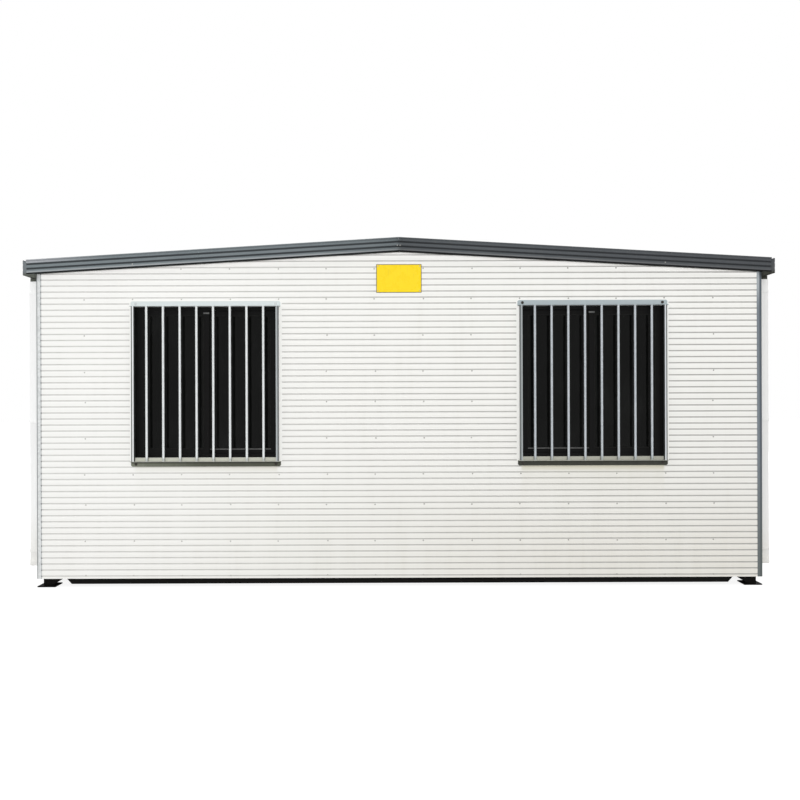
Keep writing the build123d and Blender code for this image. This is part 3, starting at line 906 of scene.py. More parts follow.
def leg_stain_and_shadow(place, grime, worn_and_shaded):
    """What covers the hung leg: algae on the left and black grime on the right, partly painted shade,
    with the ledge's painted shadow darkest at its top.
    """
    green = grime.mix((0.10, 0.112, 0.080), (0.21, 0.22, 0.175))
    green = (place.x.ramp(-2.2, -1.5) * 0.7).mix(green, (0.032, 0.034, 0.022))
    black = grime.mix((0.010, 0.012, 0.009), (0.045, 0.047, 0.036))
    # Painted shadow: the ledge's shadow across the top of the hung leg.
    top = place.z.ramp(grille_ledge - 0.024, grille_ledge - 0.013)
    return (top * 0.75).mix(worn_and_shaded.mix(green, black), (0.022, 0.024, 0.016))


def bolt_coat():
    """Zinc bolts over the left-hand windows; the others are black, which under the ledges is painted
    shade.
    """
    material, shader, place = coat("grille_bolts", metal=0.2, rough=0.55, specular=0.2)
    age = place.noise(120, 3, 0.6)
    black = age.mix((0.012, 0.012, 0.012), (0.075, 0.068, 0.058))
    zinc = age.mix((0.50, 0.53, 0.53), (0.70, 0.73, 0.73))
    # Painted shade: the bolts under the ledges are black.
    clean = (1 - place.x.ramp(-0.1, 0.1)) * place.z.ramp(1.5, 1.7)
    feed(shader, "Base Color", clean.mix(black, zinc))
    feed(shader, "Normal", place.noise(900, 2).relief(0.0002))
    return material


def shaded_side_zinc():
    """The grilles' flat sides: zinc in front, darker to the right and on the inner sides as painted
    shade, with painted shade back along their depth and a painted shadow line at their outer edge.
    """
    material, shader, place = coat("grille_side_zinc", metal=0.3, rough=0.5)
    # This ramp darkens the zinc to the right: painted shade.
    worn_and_shaded = place.x.ramp(-1.2, 1.0)
    age = place.noise(30, 4, 0.65)
    from_middle = abs(abs(place.x) - grille_middle)
    # Painted shade: the side members towards the cabin's middle are darker.
    inmost = 1 - abs(place.x).ramp(grille_middle - 0.01, grille_middle + 0.01)
    # Painted shadow: a dark line at each side's outer edge.
    edge = from_middle.ramp(side_outer - 0.0100, side_outer - 0.0070)
    # Painted shade: dark back along the sides' depth.
    deep = 1 - abs(place.y).ramp(grille_out - 0.0045, grille_out - 0.0015)
    zinc = worn_and_shaded.mix((0.84, 0.86, 0.86), (0.62, 0.65, 0.67))
    zinc = inmost.mix(zinc, worn_and_shaded.mix((0.40, 0.43, 0.44), (0.34, 0.37, 0.38)))
    colour = (age * 0.3).mix(zinc, (0.40, 0.41, 0.40))
    dark = edge.most(deep) * (0.95 - inmost * 0.25)
    feed(shader, "Base Color", dark.mix(colour, (0.040, 0.045, 0.045)))
    feed(shader, "Roughness", age * 0.25 + 0.38)
    feed(shader, "Normal", (place.noise(220, 3) * 0.5).relief(0.00035))
    return material


def snipped(low, high, base, tip, snip_across, snip_up):
    """A rectangle from its base to its tip, with the two corners at its tip cut off."""
    return [(low, base), (high, base), (high, tip - snip_up), (high - snip_across, tip),
            (low + snip_across, tip), (low, tip - snip_up)]


def welded_bar(shape, wall, along, low, high, chance):
    """A round bar with a weld bead at each end."""
    centre = on_wall(wall, along, bar_out, 0)

    def circle(more, height, rough=0.0):
        ring = []
        for number in range(bar_points):
            angle = math.tau * number / bar_points
            reach = grille_bar + more + chance.uniform(-rough, rough)
            ring.append(centre + Vector((reach * math.cos(angle), reach * math.sin(angle), height)))
        return ring

    skin(shape, [circle(0, low - bar_into_angle), circle(0, high + bar_into_angle)])
    for level, away in ((low, 1), (high, -1)):
        skin(shape, [circle(more, level + away * up, rough) for more, up, rough in weld_bead])


def weld_grille(wall, end, zinc, side_paint, bolt_paint):
    """Two angles, each a leg on the wall and a shelf out from it, with sides and bars between."""
    node = f"grille_{wall}_{end}"
    low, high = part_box(node)
    chance = random.Random(node)
    way = faces[wall]
    inner, outer = sorted((low.y, high.y), key=abs)
    start, stop = low.x, high.x
    ledge, lintel = low.z + grille_leg, high.z - grille_leg
    shape, sides, bolts = bmesh.new(), bmesh.new(), bmesh.new()
    for heel, tip, up in ((ledge, low.z, -1), (lintel, high.z, 1)):
        leg = snipped(start, stop, heel, tip, grille_snip, up * grille_snip)
        bar(shape, "y", inner, inner + way * grille_plate, leg)
        shelf = snipped(start, stop, inner, outer, shelf_snip, way * shelf_snip)
        bar(shape, "z", heel, heel + up * grille_plate, shelf)
        for along in (start + bolt_from_end, stop - bolt_from_end):
            seat = Vector((along, inner + way * grille_plate, heel + up * bolt_from_heel))
            screw_head(bolts, seat, outwards(wall), chance.uniform(0, 1),
                       bolt_washer, bolt_hexagon, bolt_height)
    for edge in (start + side_inset, stop - side_inset - side_width):
        side = [(edge, inner), (edge + side_width, inner), (edge + side_width, outer), (edge, outer)]
        bar(sides, "z", ledge, lintel, side)
    for number in range(grille_bars):
        along = (start + stop) / 2 + (number - (grille_bars - 1) / 2) * grille_bar_pitch
        welded_bar(shape, wall, along, ledge, lintel, chance)
    set_up(f"security_{node}", shape, zinc, [node], grille_edge)
    set_up(f"flat_sides_{node}", sides, side_paint, edge=grille_edge)
    set_up(f"bolts_{node}", bolts, bolt_paint)


zinc, bolt_paint, side_paint = grille_zinc(), bolt_coat(), shaded_side_zinc()
for face in faces:
    for end in ends:
        weld_grille(face, end, zinc, side_paint, bolt_paint)


# ---- Door -------------------------------------------------------------------
# A flush insulated leaf in the middle of the back wall, hung on three butt hinges in a pressed steel
# frame, with a lever handle over a key cylinder and a rubber seal round the leaf.
leaf_low, leaf_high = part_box("door_leaf")
handle_low, handle_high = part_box("door_handle")
upright = Matrix.Identity(3)
hinge_length, hinge_barrel, hinge_flap, hinge_knuckles = 0.100, 0.0065, 0.030, 5
hinge_levels, hinge_rounding, knuckle_gap = (0.22, 1.02, 1.84), 0.0008, 0.0004
pin_off_leaf, pin_sunk, knuckle_points = 0.0015, 0.0005, 16
flap_sunk, flap_proud, flap_chamfer = 0.0005, 0.0018, 0.0006
flap_screws, flap_screw_across, flap_screw_head = (0.2, 0.5, 0.8), 0.62, (0.0038, 0.0008)
# The seal's section: how far outside the leaf's edge, and how far out from the ribs' crests
seal_section = ((0.0028, -0.020), (0.0028, -0.006), (0.0004, -0.0045), (0.0002, -0.020))
door_frame_edge, leaf_edge, handle_edge = 0.0015, 0.002, 0.0012
plate_half_width, plate_out, plate_screw_inset, plate_screw = 0.023, 0.008, 0.014, (0.0045, 0.0016)
cylinder_radius, cylinder_drop, cylinder_points = 0.0125, 0.058, 28
# The cylinder's escutcheon from its rim to its keyway: share of its radius, and height
cylinder_face = ((1, -0.001), (1, 0.003), (0.9, 0.004), (0.55, 0.004), (0.5, 0.0025))


def painted_steel(name, dark, pale, rough=0.4, stain=(0.20, 0.18, 0.14)):
    """Satin paint on folded steel, a little chalky, with dust in its hollows."""
    material, shader, place = coat(name, specular=0.4)
    clouds = place.noise(2.3, 4, 0.6)
    runs = place.stretched(1, 1, 0.12).noise(16, 4, 0.65)
    feed(shader, "Base Color", (runs.ramp(0.55, 0.85) * 0.25).mix(clouds.mix(dark, pale), stain))
    feed(shader, "Roughness", clouds * 0.2 + runs * 0.12 + rough - 0.12)
    feed(shader, "Normal", (place.noise(240, 2) * 0.04 + clouds).relief(0.0012))
    return material


def satin_stainless():
    material, shader, place = coat("satin_stainless", metal=1.0, rough=0.28)
    brushed = place.stretched(0.08, 1, 1).noise(900, 2)
    feed(shader, "Base Color", brushed.mix((0.50, 0.50, 0.49), (0.66, 0.66, 0.65)))
    feed(shader, "Roughness", brushed * 0.2 + 0.22)
    feed(shader, "Normal", brushed.relief(0.00005))
    return material


def hang_hinges(paint):
    """Butt hinges: a barrel of knuckles over the gap beside the leaf, and a flap each way."""
    shape = bmesh.new()
    pin = leaf_low.x - pin_off_leaf
    centre = on_wall("back", pin, hinge_barrel - pin_sunk, 0)
    knuckle = hinge_length / hinge_knuckles
    length = knuckle - knuckle_gap * 2
    steps = ((0, hinge_rounding), (hinge_rounding, 0))
    steps += ((length - hinge_rounding, 0), (length, hinge_rounding))
    for level in hinge_levels:
        bottom = leaf_low.z + level - hinge_length / 2
        for number in range(hinge_knuckles):
            low = bottom + number * knuckle + knuckle_gap
            skin(shape, [round_ring(centre, upright, hinge_barrel - shrink, low + height, knuckle_points)
                         for height, shrink in steps])
        for way in (-1, 1):
            flap = (*sorted((pin, pin + way * hinge_flap)), bottom, bottom + hinge_length)
            block(shape, "back", flap, -flap_sunk, flap_proud, flap_chamfer)
            for step in flap_screws:
                along = pin + way * hinge_flap * flap_screw_across
                seat = on_wall("back", along, flap_proud, bottom + step * hinge_length)
                rivet(shape, seat, outwards("back"), *flap_screw_head)
    set_up("door_hinges", shape, paint)


def seal_door(paint):
    shape = bmesh.new()
    leaf = (leaf_low.x, leaf_high.x, leaf_low.z, leaf_high.z)
    frame_round(shape, "back", leaf, seal_section)
    set_up("door_seal", shape, paint)


def key_cylinder(paint):
    """A profile cylinder's round escutcheon under the lever, and the plate's fixing screws."""
    shape = bmesh.new()
    middle, out = handle_high.x - plate_half_width, outwards("back")
    level = (handle_low.z + handle_high.z) / 2 - cylinder_drop
    centre = on_wall("back", middle, plate_out, level)
    skin(shape, [round_ring(centre, facing_out(out), cylinder_radius * reach, up, cylinder_points)
                 for reach, up in cylinder_face])
    for level in (handle_low.z + plate_screw_inset, handle_high.z - plate_screw_inset):
        seat = on_wall("back", middle, plate_out, level)
        rivet(shape, seat, out, *plate_screw)
    set_up("door_lock_cylinder", shape, paint)


door_steel = satin_stainless()
frame_paint = painted_steel("door_frame_paint", (0.085, 0.092, 0.10), (0.13, 0.14, 0.15))
dress("door_frame", frame_paint, door_frame_edge)
leaf_paint = painted_steel("door_leaf_paint", (0.76, 0.75, 0.70), (0.84, 0.83, 0.79), 0.42,
                           stain=(0.52, 0.49, 0.41))
dress("door_leaf", leaf_paint, leaf_edge)
dress("door_handle", door_steel, handle_edge)
hang_hinges(door_steel)
seal_door(rubber)
key_cylinder(door_steel)


# ---- Roof -------------------------------------------------------------------
# Insulated panels lie on the walls, and trapezoid-ribbed sheets of zinc-coated steel on the panels.
# Screws with neoprene washers hold the ribs, and a folded cap covers the ridge.
roof_rib_pitch, roof_rib_foot, roof_rib_crest, roof_rib_height = 0.190, 0.058, 0.026, 0.023
roof_sheet_up, roof_gauge, sheet_from_ridge = 0.0600, 0.0009, 0.004
flute_height, flute_width, flute_crest, flutes = 0.0028, 0.016, 0.4, (1 / 3, 2 / 3)
purlin_places, screw_wander = (0.92, 1.78, 2.62, 2.98), 0.008
roof_washer, roof_screw_height = 0.0078, 0.0050
cap_gauge, cap_turned, cap_crease, cap_below_top = 0.0012, 0.014, 0.006, 0.0002
cap_rivet_place, cap_rivet, cap_rivet_sunk = 0.72, (0.0055, 0.0004), 0.0004


def roof_zinc():
    """Zinc-aluminium coated sheet, dulled, with water marks down the fall and dust in the pans."""
    material, shader, place = coat("roof_zinc", metal=0.65, rough=0.42)
    spangle = place.spangle(110)
    runs = place.stretched(0.12, 1, 1).noise(18, 5, 0.65)
    clouds = place.noise(1.6, 4, 0.6)
    metal = (spangle * 0.4 + clouds * 0.6).mix((0.38, 0.39, 0.40), (0.56, 0.575, 0.58))
    stained = (runs.ramp(0.5, 0.8) * 0.45).mix(metal, (0.30, 0.29, 0.26))
    feed(shader, "Base Color", (clouds.ramp(0.6, 0.85) * 0.3).mix(stained, (0.24, 0.20, 0.15)))
    feed(shader, "Roughness", runs * 0.25 + spangle * 0.08 + 0.30)
    feed(shader, "Normal", (spangle * 0.2 + place.noise(2.5, 2)).relief(0.0012))
    return material


def rib_places(low, high):
    """The middle lines of the roof's ribs between two limits across it."""
    count = int((high - low) // roof_rib_pitch)
    return [(low + high) / 2 + (number - (count - 1) / 2) * roof_rib_pitch for number in range(count)]


def raised(middle, foot, crest, height):
    """Four points of a section that step up from a foot's width to a crest's and down again."""
    return [(middle - foot / 2, 0.0), (middle - crest / 2, height),
            (middle + crest / 2, height), (middle + foot / 2, 0.0)]


def roof_profile(low, high):
    """The ribbed sheet's section across the roof, as (place across, height): two flutes a pan."""
    section = [(low, 0.0)]
    pan = roof_rib_pitch - roof_rib_foot
    for number, rib in enumerate(rib_places(low, high)):
        if number:
            pan_start = rib - roof_rib_pitch + roof_rib_foot / 2
            for share in flutes:
                middle = pan_start + pan * share
                section += raised(middle, flute_width, flute_width * flute_crest, flute_height)
        section += raised(rib, roof_rib_foot, roof_rib_crest, roof_rib_height)
    return section + [(high, 0.0)]


def lay_strip(shape, lines):
    """An open sheet stretched over lines of points that all have the same count."""
    rows = [[shape.verts.new(point) for point in line] for line in lines]
    for near, far in zip(rows, rows[1:]):
        for here in range(len(near) - 1):
            shape.faces.new((near[here], near[here + 1], far[here + 1], far[here]))


def roof_point(end, along, across, up):
    return Vector((ends[end] * along, across, wall_top(along) + up))


def off_roof(end):
    """The direction that stands square on a slope."""
    return Vector((ends[end] * roof_fall, 0, 1)).normalized()


def sheet_roof(end, paint, screw_paint):
    node = f"roof_sheet_{end}"
    low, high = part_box(node)
    reach = furthest(low.x, high.x)
    section = roof_profile(low.y, high.y)
    shape = bmesh.new()
    lay_strip(shape, [[roof_point(end, along, across, roof_sheet_up + up) for across, up in section]
                      for along in (sheet_from_ridge, reach / 2, reach)])
    face_towards(shape, (0, 0, 1))
    piece = set_up(f"ribbed_{node}", shape, paint, [node], closed=False)
    give_gauge(piece, roof_gauge)

    screws = bmesh.new()
    chance = random.Random(node)
    for along in purlin_places:
        for across in rib_places(low.y, high.y):
            shift = chance.uniform(-screw_wander, screw_wander)
            seat = roof_point(end, along + shift, across, roof_sheet_up + roof_rib_height)
            turn = chance.uniform(0, 1)
            screw_head(screws, seat, off_roof(end), turn, roof_washer, height=roof_screw_height)
    set_up(f"roof_screws_{end}", screws, screw_paint)


def cap_ridge(paint, screw_paint):
    """A cap with its edges turned down over the sheets' ribs, riveted to each rib on both slopes."""
    low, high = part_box("ridge_cap")
    top, half = high.z - ridge, high.x
    shape = bmesh.new()
    slope = [(half, -cap_turned), (half, 0), (half / 2, 0), (cap_crease, 0)]
    path = [(-x, up) for x, up in slope] + [(0.0, 0.0)] + slope[::-1]
    lay_strip(shape, [[Vector((x, across, wall_top(x) + top - cap_below_top + up)) for x, up in path]
                      for across in (low.y, 0.0, high.y)])
    face_towards(shape, (0, 0, 1))
    piece = set_up("folded_ridge_cap", shape, paint, ["ridge_cap"], closed=False)
    give_gauge(piece, cap_gauge)

    rivets = bmesh.new()
    for across in rib_places(low.y, high.y):
        for end in ends:
            seat = roof_point(end, half * cap_rivet_place, across, top - cap_rivet_sunk)
            rivet(rivets, seat, off_roof(end), *cap_rivet)
    set_up("ridge_cap_rivets", rivets, screw_paint)


roof_paint = roof_zinc()
for end in ends:
    dress(f"roof_panel_{end}", lining)
    sheet_roof(end, roof_paint, screw_paint)
cap_ridge(roof_paint, screw_paint)


# ---- Barges -----------------------------------------------------------------
# Folded channels of dark blue-grey prepainted steel along the gable slopes, pressed with two grooves
# and a rolled lip. They meet in a riveted mitre under the peak, and their faces pass the gutters' ends.
barge_gauge, fold_distance = 0.0012, 0.00001
# From the soffit, round the lip, up the face over its two grooves and back along the roof flange:
# how far out each fold is from the corner flashings' face, and how high above the wall's top
barge_section = (
    (0.0000, -0.0290), (0.0440, -0.0295), (0.0462, -0.0297), (0.0478, -0.0288), (0.0482, -0.0272),
    (0.0470, -0.0258), (0.0450, -0.0250), (0.0462, 0.0052), (0.0452, 0.0066), (0.0385, 0.0082),
    (0.0380, 0.0102), (0.0478, 0.0190), (0.0484, 0.0206), (0.0498, 0.0422), (0.0488, 0.0436),
    (0.0420, 0.0452), (0.0416, 0.0474), (0.0506, 0.0562), (0.0512, 0.0578), (0.0540, 0.0838),
    (0.0545, 0.0852), (0.0536, 0.0858), (0.0500, 0.0859), (0.0000, 0.0859), (-0.0590, 0.0859),
)
# Each rivet's place along the slope, out from the flashings and above the wall's top
barge_rivets, barge_rivet_radius = ((0.012, 0.0480, 0.0200), (2.190, 0.0459, -0.0020)), 0.0048
barge_start, barge_stations = 0.0004, (0.9, 1.9)
body_y = -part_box("corner_flashing_front_right")[0].y
barge_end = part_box("barge_front_right")[1].x
roof_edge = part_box("roof_sheet_right")[1].x


def barge_paint_coat():
    """Dark blue-grey paint, paler on the left slope as painted reflection, with dirt and painted shade
    in its grooves and crease, a painted highlight on its lip and painted shade on its underside.
    """
    material, shader, place = coat("barge_paint", specular=0.2)
    up = place.z + abs(place.x) * roof_fall - ridge
    # Painted reflection: paler towards the left, and over the whole left slope.
    paler_to_left = (1 - place.x.ramp(-4.5, 3.5)) * 0.45 + (1 - place.x.ramp(-0.03, 0.03)) * 0.55
    clouds = place.stretched(1, 1, 3).noise(3.2, 5, 0.65)
    runs = place.stretched(1, 1, 0.15).noise(30, 4, 0.7)
    specks = place.noise(160, 2, 0.5).ramp(0.66, 0.75)
    unreflecting = clouds.mix((0.052, 0.056, 0.061), (0.082, 0.088, 0.095))
    sky_reflecting = clouds.mix((0.150, 0.178, 0.192), (0.225, 0.258, 0.272))
    paint = (runs.ramp(0.45, 0.85) * 0.15).mix(paler_to_left.mix(unreflecting, sky_reflecting), (0.18, 0.18, 0.17))
    # Painted reflection: the top band is paler at the left end.
    end_reflection = (1 - place.x.ramp(-3.1, -2.3)) * up.ramp(0.054, 0.060)
    paint = (end_reflection * 0.75).mix(paint, (0.44, 0.45, 0.48))
    # Dirt and painted shade: dark in the two grooves and along the crease.
    grooves_dirt_and_shade = up.band(0.0040, 0.0175, 0.003) + up.band(0.0410, 0.0545, 0.003)
    crease_shade = up.band(0.0720, 0.0770, 0.002) * 0.42
    paint = (grooves_dirt_and_shade * 0.80 + crease_shade).mix(paint, (0.026, 0.028, 0.031))
    # Painted highlight: the lip is paler, less so to the right, and paler on the left slope.
    lip_highlight = up.band(-0.0190, -0.0105, 0.002) * (1 - place.x.ramp(1.6, 3.0) * 0.7)
    paint = (lip_highlight * 0.55).mix(paint, paler_to_left.mix((0.15, 0.152, 0.155), (0.44, 0.46, 0.47)))
    paint = (specks * 0.3).mix(paint, (0.05, 0.05, 0.048))
    # Painted shade: the lip's underside and the soffit are nearly black.
    bottom = 1 - up.ramp(-0.0225, -0.0195)
    feed(shader, "Base Color", (bottom * 0.96).mix(paint, (0.0035, 0.0035, 0.0030)))
    feed(shader, "Roughness", clouds * 0.15 + runs * 0.1 + bottom * 0.5 + 0.42)
    dents = place.noise(2.2, 2) + place.noise(40, 2) * 0.05
    feed(shader, "Normal", dents.relief(0.0016))
    return material


def barge_point(face, end, along, out, up):
    """A point on a barge: from the peak along it, out from the flashings and above the wall's top."""
    x = ends[end] * along
    return Vector((x, faces[face] * (body_y + out), wall_top(along) + up))


def fold_barge(face, end, paint, rivet_paint):
    """The soffit stops at the corner and the roof flange at the sheet's edge; the face goes on."""
    node = f"barge_{face}_{end}"
    runs = (
        (barge_section, (barge_start, *barge_stations, corner_x)),
        (barge_section[1:], (corner_x, roof_edge)),
        (barge_section[1:-1], (roof_edge, barge_end)),
    )
    shape = bmesh.new()
    for section, stations in runs:
        lay_strip(shape, [[barge_point(face, end, along, out, up) for out, up in section]
                          for along in stations])
    bmesh.ops.remove_doubles(shape, verts=shape.verts, dist=fold_distance)
    face_towards(shape, (0, faces[face], 0.2))
    piece = set_up(f"folded_{node}", shape, paint, [node], closed=False)
    give_gauge(piece, barge_gauge)

    rivets = bmesh.new()
    for along, out, up in barge_rivets:
        seat = barge_point(face, end, along, out, up)
        rivet(rivets, seat, Vector((0, faces[face], 0)), barge_rivet_radius)
    set_up(f"rivets_{node}", rivets, rivet_paint)


barge_paint = barge_paint_coat()
for face in faces:
    for end in ends:
        fold_barge(face, end, barge_paint, screw_paint)


# ---- Gutters ----------------------------------------------------------------
# A folded trough across each end with a rolled bead on its lip and a fluted face, closed by stop ends
# and let into the downpipe by a soldered nozzle. The same paint, grimy underneath and at its ends.
gutter_gauge, gutter_bead, gutter_seam = 0.0012, 0.005, 0.0001
gutter_lip_drop, gutter_back_drop, gutter_bottom_fall = 0.125, 0.030, 0.019
gutter_behind_barge, stop_end_gauge, stop_end_inset = 0.018, 0.0014, 0.0014
flute_places, flute_sunk = ((0.038, 0.052), (0.080, 0.094)), 0.007
bead_turn, bead_steps, bead_closing = math.radians(34), 8, 0.02
nozzle_radius, nozzle_gauge, nozzle_points, nozzle_into_trough = 0.040, 0.002, 40, 0.013
nozzle_chamfer, nozzle_edge, nozzle_hole_inset, clip_reach = (0.0006, 0.001), 0.0003, 0.0012, 0.048
face_foot, flute_slope, flute_flat = ((0.002, 0.0008), (0.0, 0.003)), 0.002, 0.004
# Where a stop end's corners are, above the trough's back foot and front foot and below their tops
stop_end_up, stop_end_down = (0.0015, 0.0020), (0.002, 0.006)


def gutter_paint_coat():
    material, shader, place = coat("gutter_paint", specular=0.12)
    clouds = place.stretched(1, 1, 3).noise(3.2, 5, 0.65)
    runs = place.stretched(1, 1, 0.15).noise(11, 4, 0.6)
    algae = place.noise(26, 4, 0.65)
    under = 1 - place.z.ramp(eaves - 0.045, eaves - 0.010)
    # Paler towards the left; the same ramp picks green algae on the left and black grime on the right.
    paler_to_left = 1 - place.x.ramp(-3.6, 3.0)
    paint = clouds.mix((0.040, 0.044, 0.049), (0.066, 0.071, 0.078))
    paint = (paler_to_left * 0.6).mix(paint, (0.25, 0.275, 0.290))
    dusty = (runs.ramp(0.40, 0.90) * 0.28).mix(paint, (0.25, 0.25, 0.235))
    green = algae.mix((0.020, 0.022, 0.016), (0.17, 0.18, 0.145))
    black = algae.mix((0.012, 0.012, 0.010), (0.065, 0.067, 0.052))
    feed(shader, "Base Color", (under * 0.85).mix(dusty, paler_to_left.mix(black, green)))
    feed(shader, "Roughness", clouds * 0.2 + under * 0.55 + 0.28)
    feed(shader, "Normal", (place.noise(2.2, 2) + algae * under * 0.15).relief(0.0016))
    return material


def pipe_middle(end):
    """The middle of a downpipe on plan, which its clips reach past by a known length."""
    low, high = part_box(f"downpipe_{end}")
    return Vector((ends[end] * (furthest(low.x, high.x) - clip_reach), (low.y + high.y) / 2, 0))


def gutter_face(front, way, foot, top):
    """The face's section from its foot, in and out of two flutes, to the bead rolled on its lip."""
    path = [(front - way * inset, foot + up) for inset, up in face_foot]
    for low, high in flute_places:
        path += [(front, foot + low), (front - way * flute_sunk, foot + low + flute_slope)]
        path += [(front - way * flute_sunk, foot + low + flute_flat), (front, foot + high)]
    path += [(front, top - gutter_bead)]
    for step in range(1, bead_steps + 1):
        reach = gutter_bead * (1 - bead_closing * step)
        path.append((front - way * (gutter_bead - reach * math.cos(bead_turn * step)),
                     top - gutter_bead + reach * math.sin(bead_turn * step)))
    return path


def holed_bottom(shape, back, front, length, pipe):
    """The trough's sloping bottom, filled round a hole over the pipe."""
    def on_slope(x, y):
        share = (x - back[0]) / (front[0] - back[0])
        return Vector((x, y, back[1] + (front[1] - back[1]) * share))

    near, far = length
    outer = ((back[0], near), (front[0], near), (front[0], far), (back[0], far))
    rim = round_ring(pipe, upright, nozzle_radius - nozzle_hole_inset, 0, nozzle_points)
    edges = []
    for ring in (outer, [(spot.x, spot.y) for spot in rim]):
        corners = [shape.verts.new(on_slope(x, y)) for x, y in ring]
        edges += [shape.edges.new((corners[here - 1], corners[here])) for here in range(len(corners))]
    bmesh.ops.triangle_fill(shape, edges=edges, use_beauty=True, normal=(0, 0, 1))


def close_ends(node, way, length, back, front, paint):
    """A plate just inside each end of the trough; back and front are (place, foot, top)."""
    caps = bmesh.new()
    (back_x, back_foot, back_top), (front_x, front_foot, front_top) = back, front
    back_x, front_x = back_x + way * stop_end_inset, front_x - way * stop_end_inset
    outline = [(back_x, back_top - stop_end_down[0]), (back_x, back_foot + stop_end_up[0])]
    outline += [(front_x, front_foot + stop_end_up[1]), (front_x, front_top - stop_end_down[1])]
    for y in length:
        inwards = math.copysign(stop_end_gauge, -y)
        bar(caps, "y", y + inwards * 0.1, y + inwards, outline)
    set_up(f"stop_ends_{node}", caps, paint)


def let_in_nozzle(node, pipe, bottom, top, paint):
    """A short tube from inside the trough down into the pipe."""
    nozzle = bmesh.new()
    inner, (cut_in, cut_up) = nozzle_radius - nozzle_gauge, nozzle_chamfer
    steps = ((nozzle_radius, top), (nozzle_radius, bottom + cut_up), (nozzle_radius - cut_in, bottom),
             (inner, bottom), (inner, top))
    skin(nozzle, [round_ring(pipe, upright, radius, height, nozzle_points)
                  for radius, height in steps], looped=True)
    set_up(f"nozzle_{node}", nozzle, paint, edge=nozzle_edge, steps=1)


def fold_gutter(end, paint):
    node = f"gutter_{end}"
    low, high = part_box(node)
    way, pipe = ends[end], pipe_middle(end)
    back, front = sorted((low.x, high.x), key=abs)
    lip_top, back_top = high.z, high.z - gutter_back_drop
    lip_foot = lip_top - gutter_lip_drop
    back_foot = lip_foot - gutter_bottom_fall
    length = (low.y + gutter_behind_barge, high.y - gutter_behind_barge)
    face_path = gutter_face(front, way, lip_foot, lip_top)
    back_path = [(back, back_foot + gutter_gauge), (back, back_top)]

    shape = bmesh.new()
    for path in (face_path, back_path):
        lay_strip(shape, [[Vector((x, y, z)) for x, z in path] for y in length])
    holed_bottom(shape, (back, back_foot), face_path[0], length, pipe)
    bmesh.ops.remove_doubles(shape, verts=shape.verts, dist=gutter_seam)
    bmesh.ops.recalc_face_normals(shape, faces=shape.faces)
    outmost = max(shape.faces, key=lambda face: abs(face.calc_center_median().x))
    if outmost.normal.x * way < 0:
        bmesh.ops.reverse_faces(shape, faces=shape.faces)
    piece = set_up(f"folded_{node}", shape, paint, [node], closed=False)
    give_gauge(piece, gutter_gauge)
    close_ends(node, way, length, (back, back_foot, back_top), (front, lip_foot, lip_top), paint)
    let_in_nozzle(node, pipe, low.z, back_foot + nozzle_into_trough, paint)


gutter_paint = gutter_paint_coat()
for end in ends:
    fold_gutter(end, gutter_paint)


# ---- Downpipes --------------------------------------------------------------
# White plastic drainage pipe from each gutter's nozzle, with a collar at its foot and three clips
# that hold it to the end wall. Chalky from the sun, with splash marks near the ground, and the
# right-hand pipe darker as painted shade.
clip_levels = (0.121, 1.195, 2.269)
clip_screw_out, clip_screw_across, clip_screw_turn = 0.020, 0.022, 0.3
clip_washer, clip_hexagon, pipe_edge = 0.0070, 0.0050, 0.0008


def white_plastic():
    material, shader, place = coat("white_drainage_plastic", specular=0.45)
    clouds = place.noise(2.6, 4, 0.6)
    splash = (1 - place.z.ramp(0.15, 0.7)) * place.noise(22, 4, 0.7)
    plastic = clouds.mix((0.83, 0.835, 0.83), (0.90, 0.90, 0.895))
    # Painted shade: the right-hand pipe is darker.
    plastic = (place.x.ramp(-3.0, 3.0) * 0.5).mix(plastic, (0.58, 0.575, 0.56))
    feed(shader, "Base Color", (splash * 0.5).mix(plastic, (0.52, 0.48, 0.39)))
    feed(shader, "Roughness", clouds * 0.15 + splash * 0.2 + 0.30)
    feed(shader, "Normal", place.noise(1.8, 1).relief(0.0012))
    return material


def screw_clips(end, paint):
    """A screw through each clip's leg from both its sides."""
    shape = bmesh.new()
    middle, foot = pipe_middle(end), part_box(f"downpipe_{end}")[0].z
    for level in clip_levels:
        for side in (-1, 1):
            out = ends[end] * (corner_x + clip_screw_out)
            seat = Vector((out, middle.y + side * clip_screw_across, foot + level))
            screw_head(shape, seat, Vector((0, side, 0)), clip_screw_turn, clip_washer, clip_hexagon)
    set_up(f"clip_screws_{end}", shape, paint)


pipe_plastic = white_plastic()
for end in ends:
    dress(f"downpipe_{end}", pipe_plastic, pipe_edge)
    screw_clips(end, screw_paint)


# ---- Blank plate ------------------------------------------------------------
# A stove-enamelled steel plate riveted under the peak of the front gable, with a thin line of darker
# enamel round its edge. It carries nothing.
plate_line, plate_line_soft, plate_edge = 0.0045, 0.0006, 0.0008
plate_rivet_inset, plate_rivet = 0.016, (0.0050, 0.0024)
plate_low, plate_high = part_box("sign_plate")


def in_margin(place, low, high):
    """1 in a plate's margin along one axis, and 0 inside it."""
    inner = (high - low) / 2 - plate_line
    return abs(place - (low + high) / 2).ramp(inner - plate_line_soft, inner)


def yellow_enamel():
    material, shader, place = coat("yellow_enamel", rough=0.25, specular=0.25)
    edge = in_margin(place.x, plate_low.x, plate_high.x)
    edge = edge.most(in_margin(place.z, plate_low.z, plate_high.z))
    age = place.noise(14, 4, 0.6)
    runs = place.stretched(1, 1, 0.15).noise(60, 3, 0.6)
    face = age.mix((0.86, 0.60, 0.012), (0.92, 0.70, 0.022))
    face = (runs.ramp(0.55, 0.8) * 0.25).mix(face, (0.50, 0.36, 0.06))
    feed(shader, "Base Color", edge.mix(face, (0.06, 0.05, 0.03)))
    feed(shader, "Roughness", age * 0.2 + 0.18)
    feed(shader, "Normal", place.noise(9, 2).relief(0.0006))
    return material


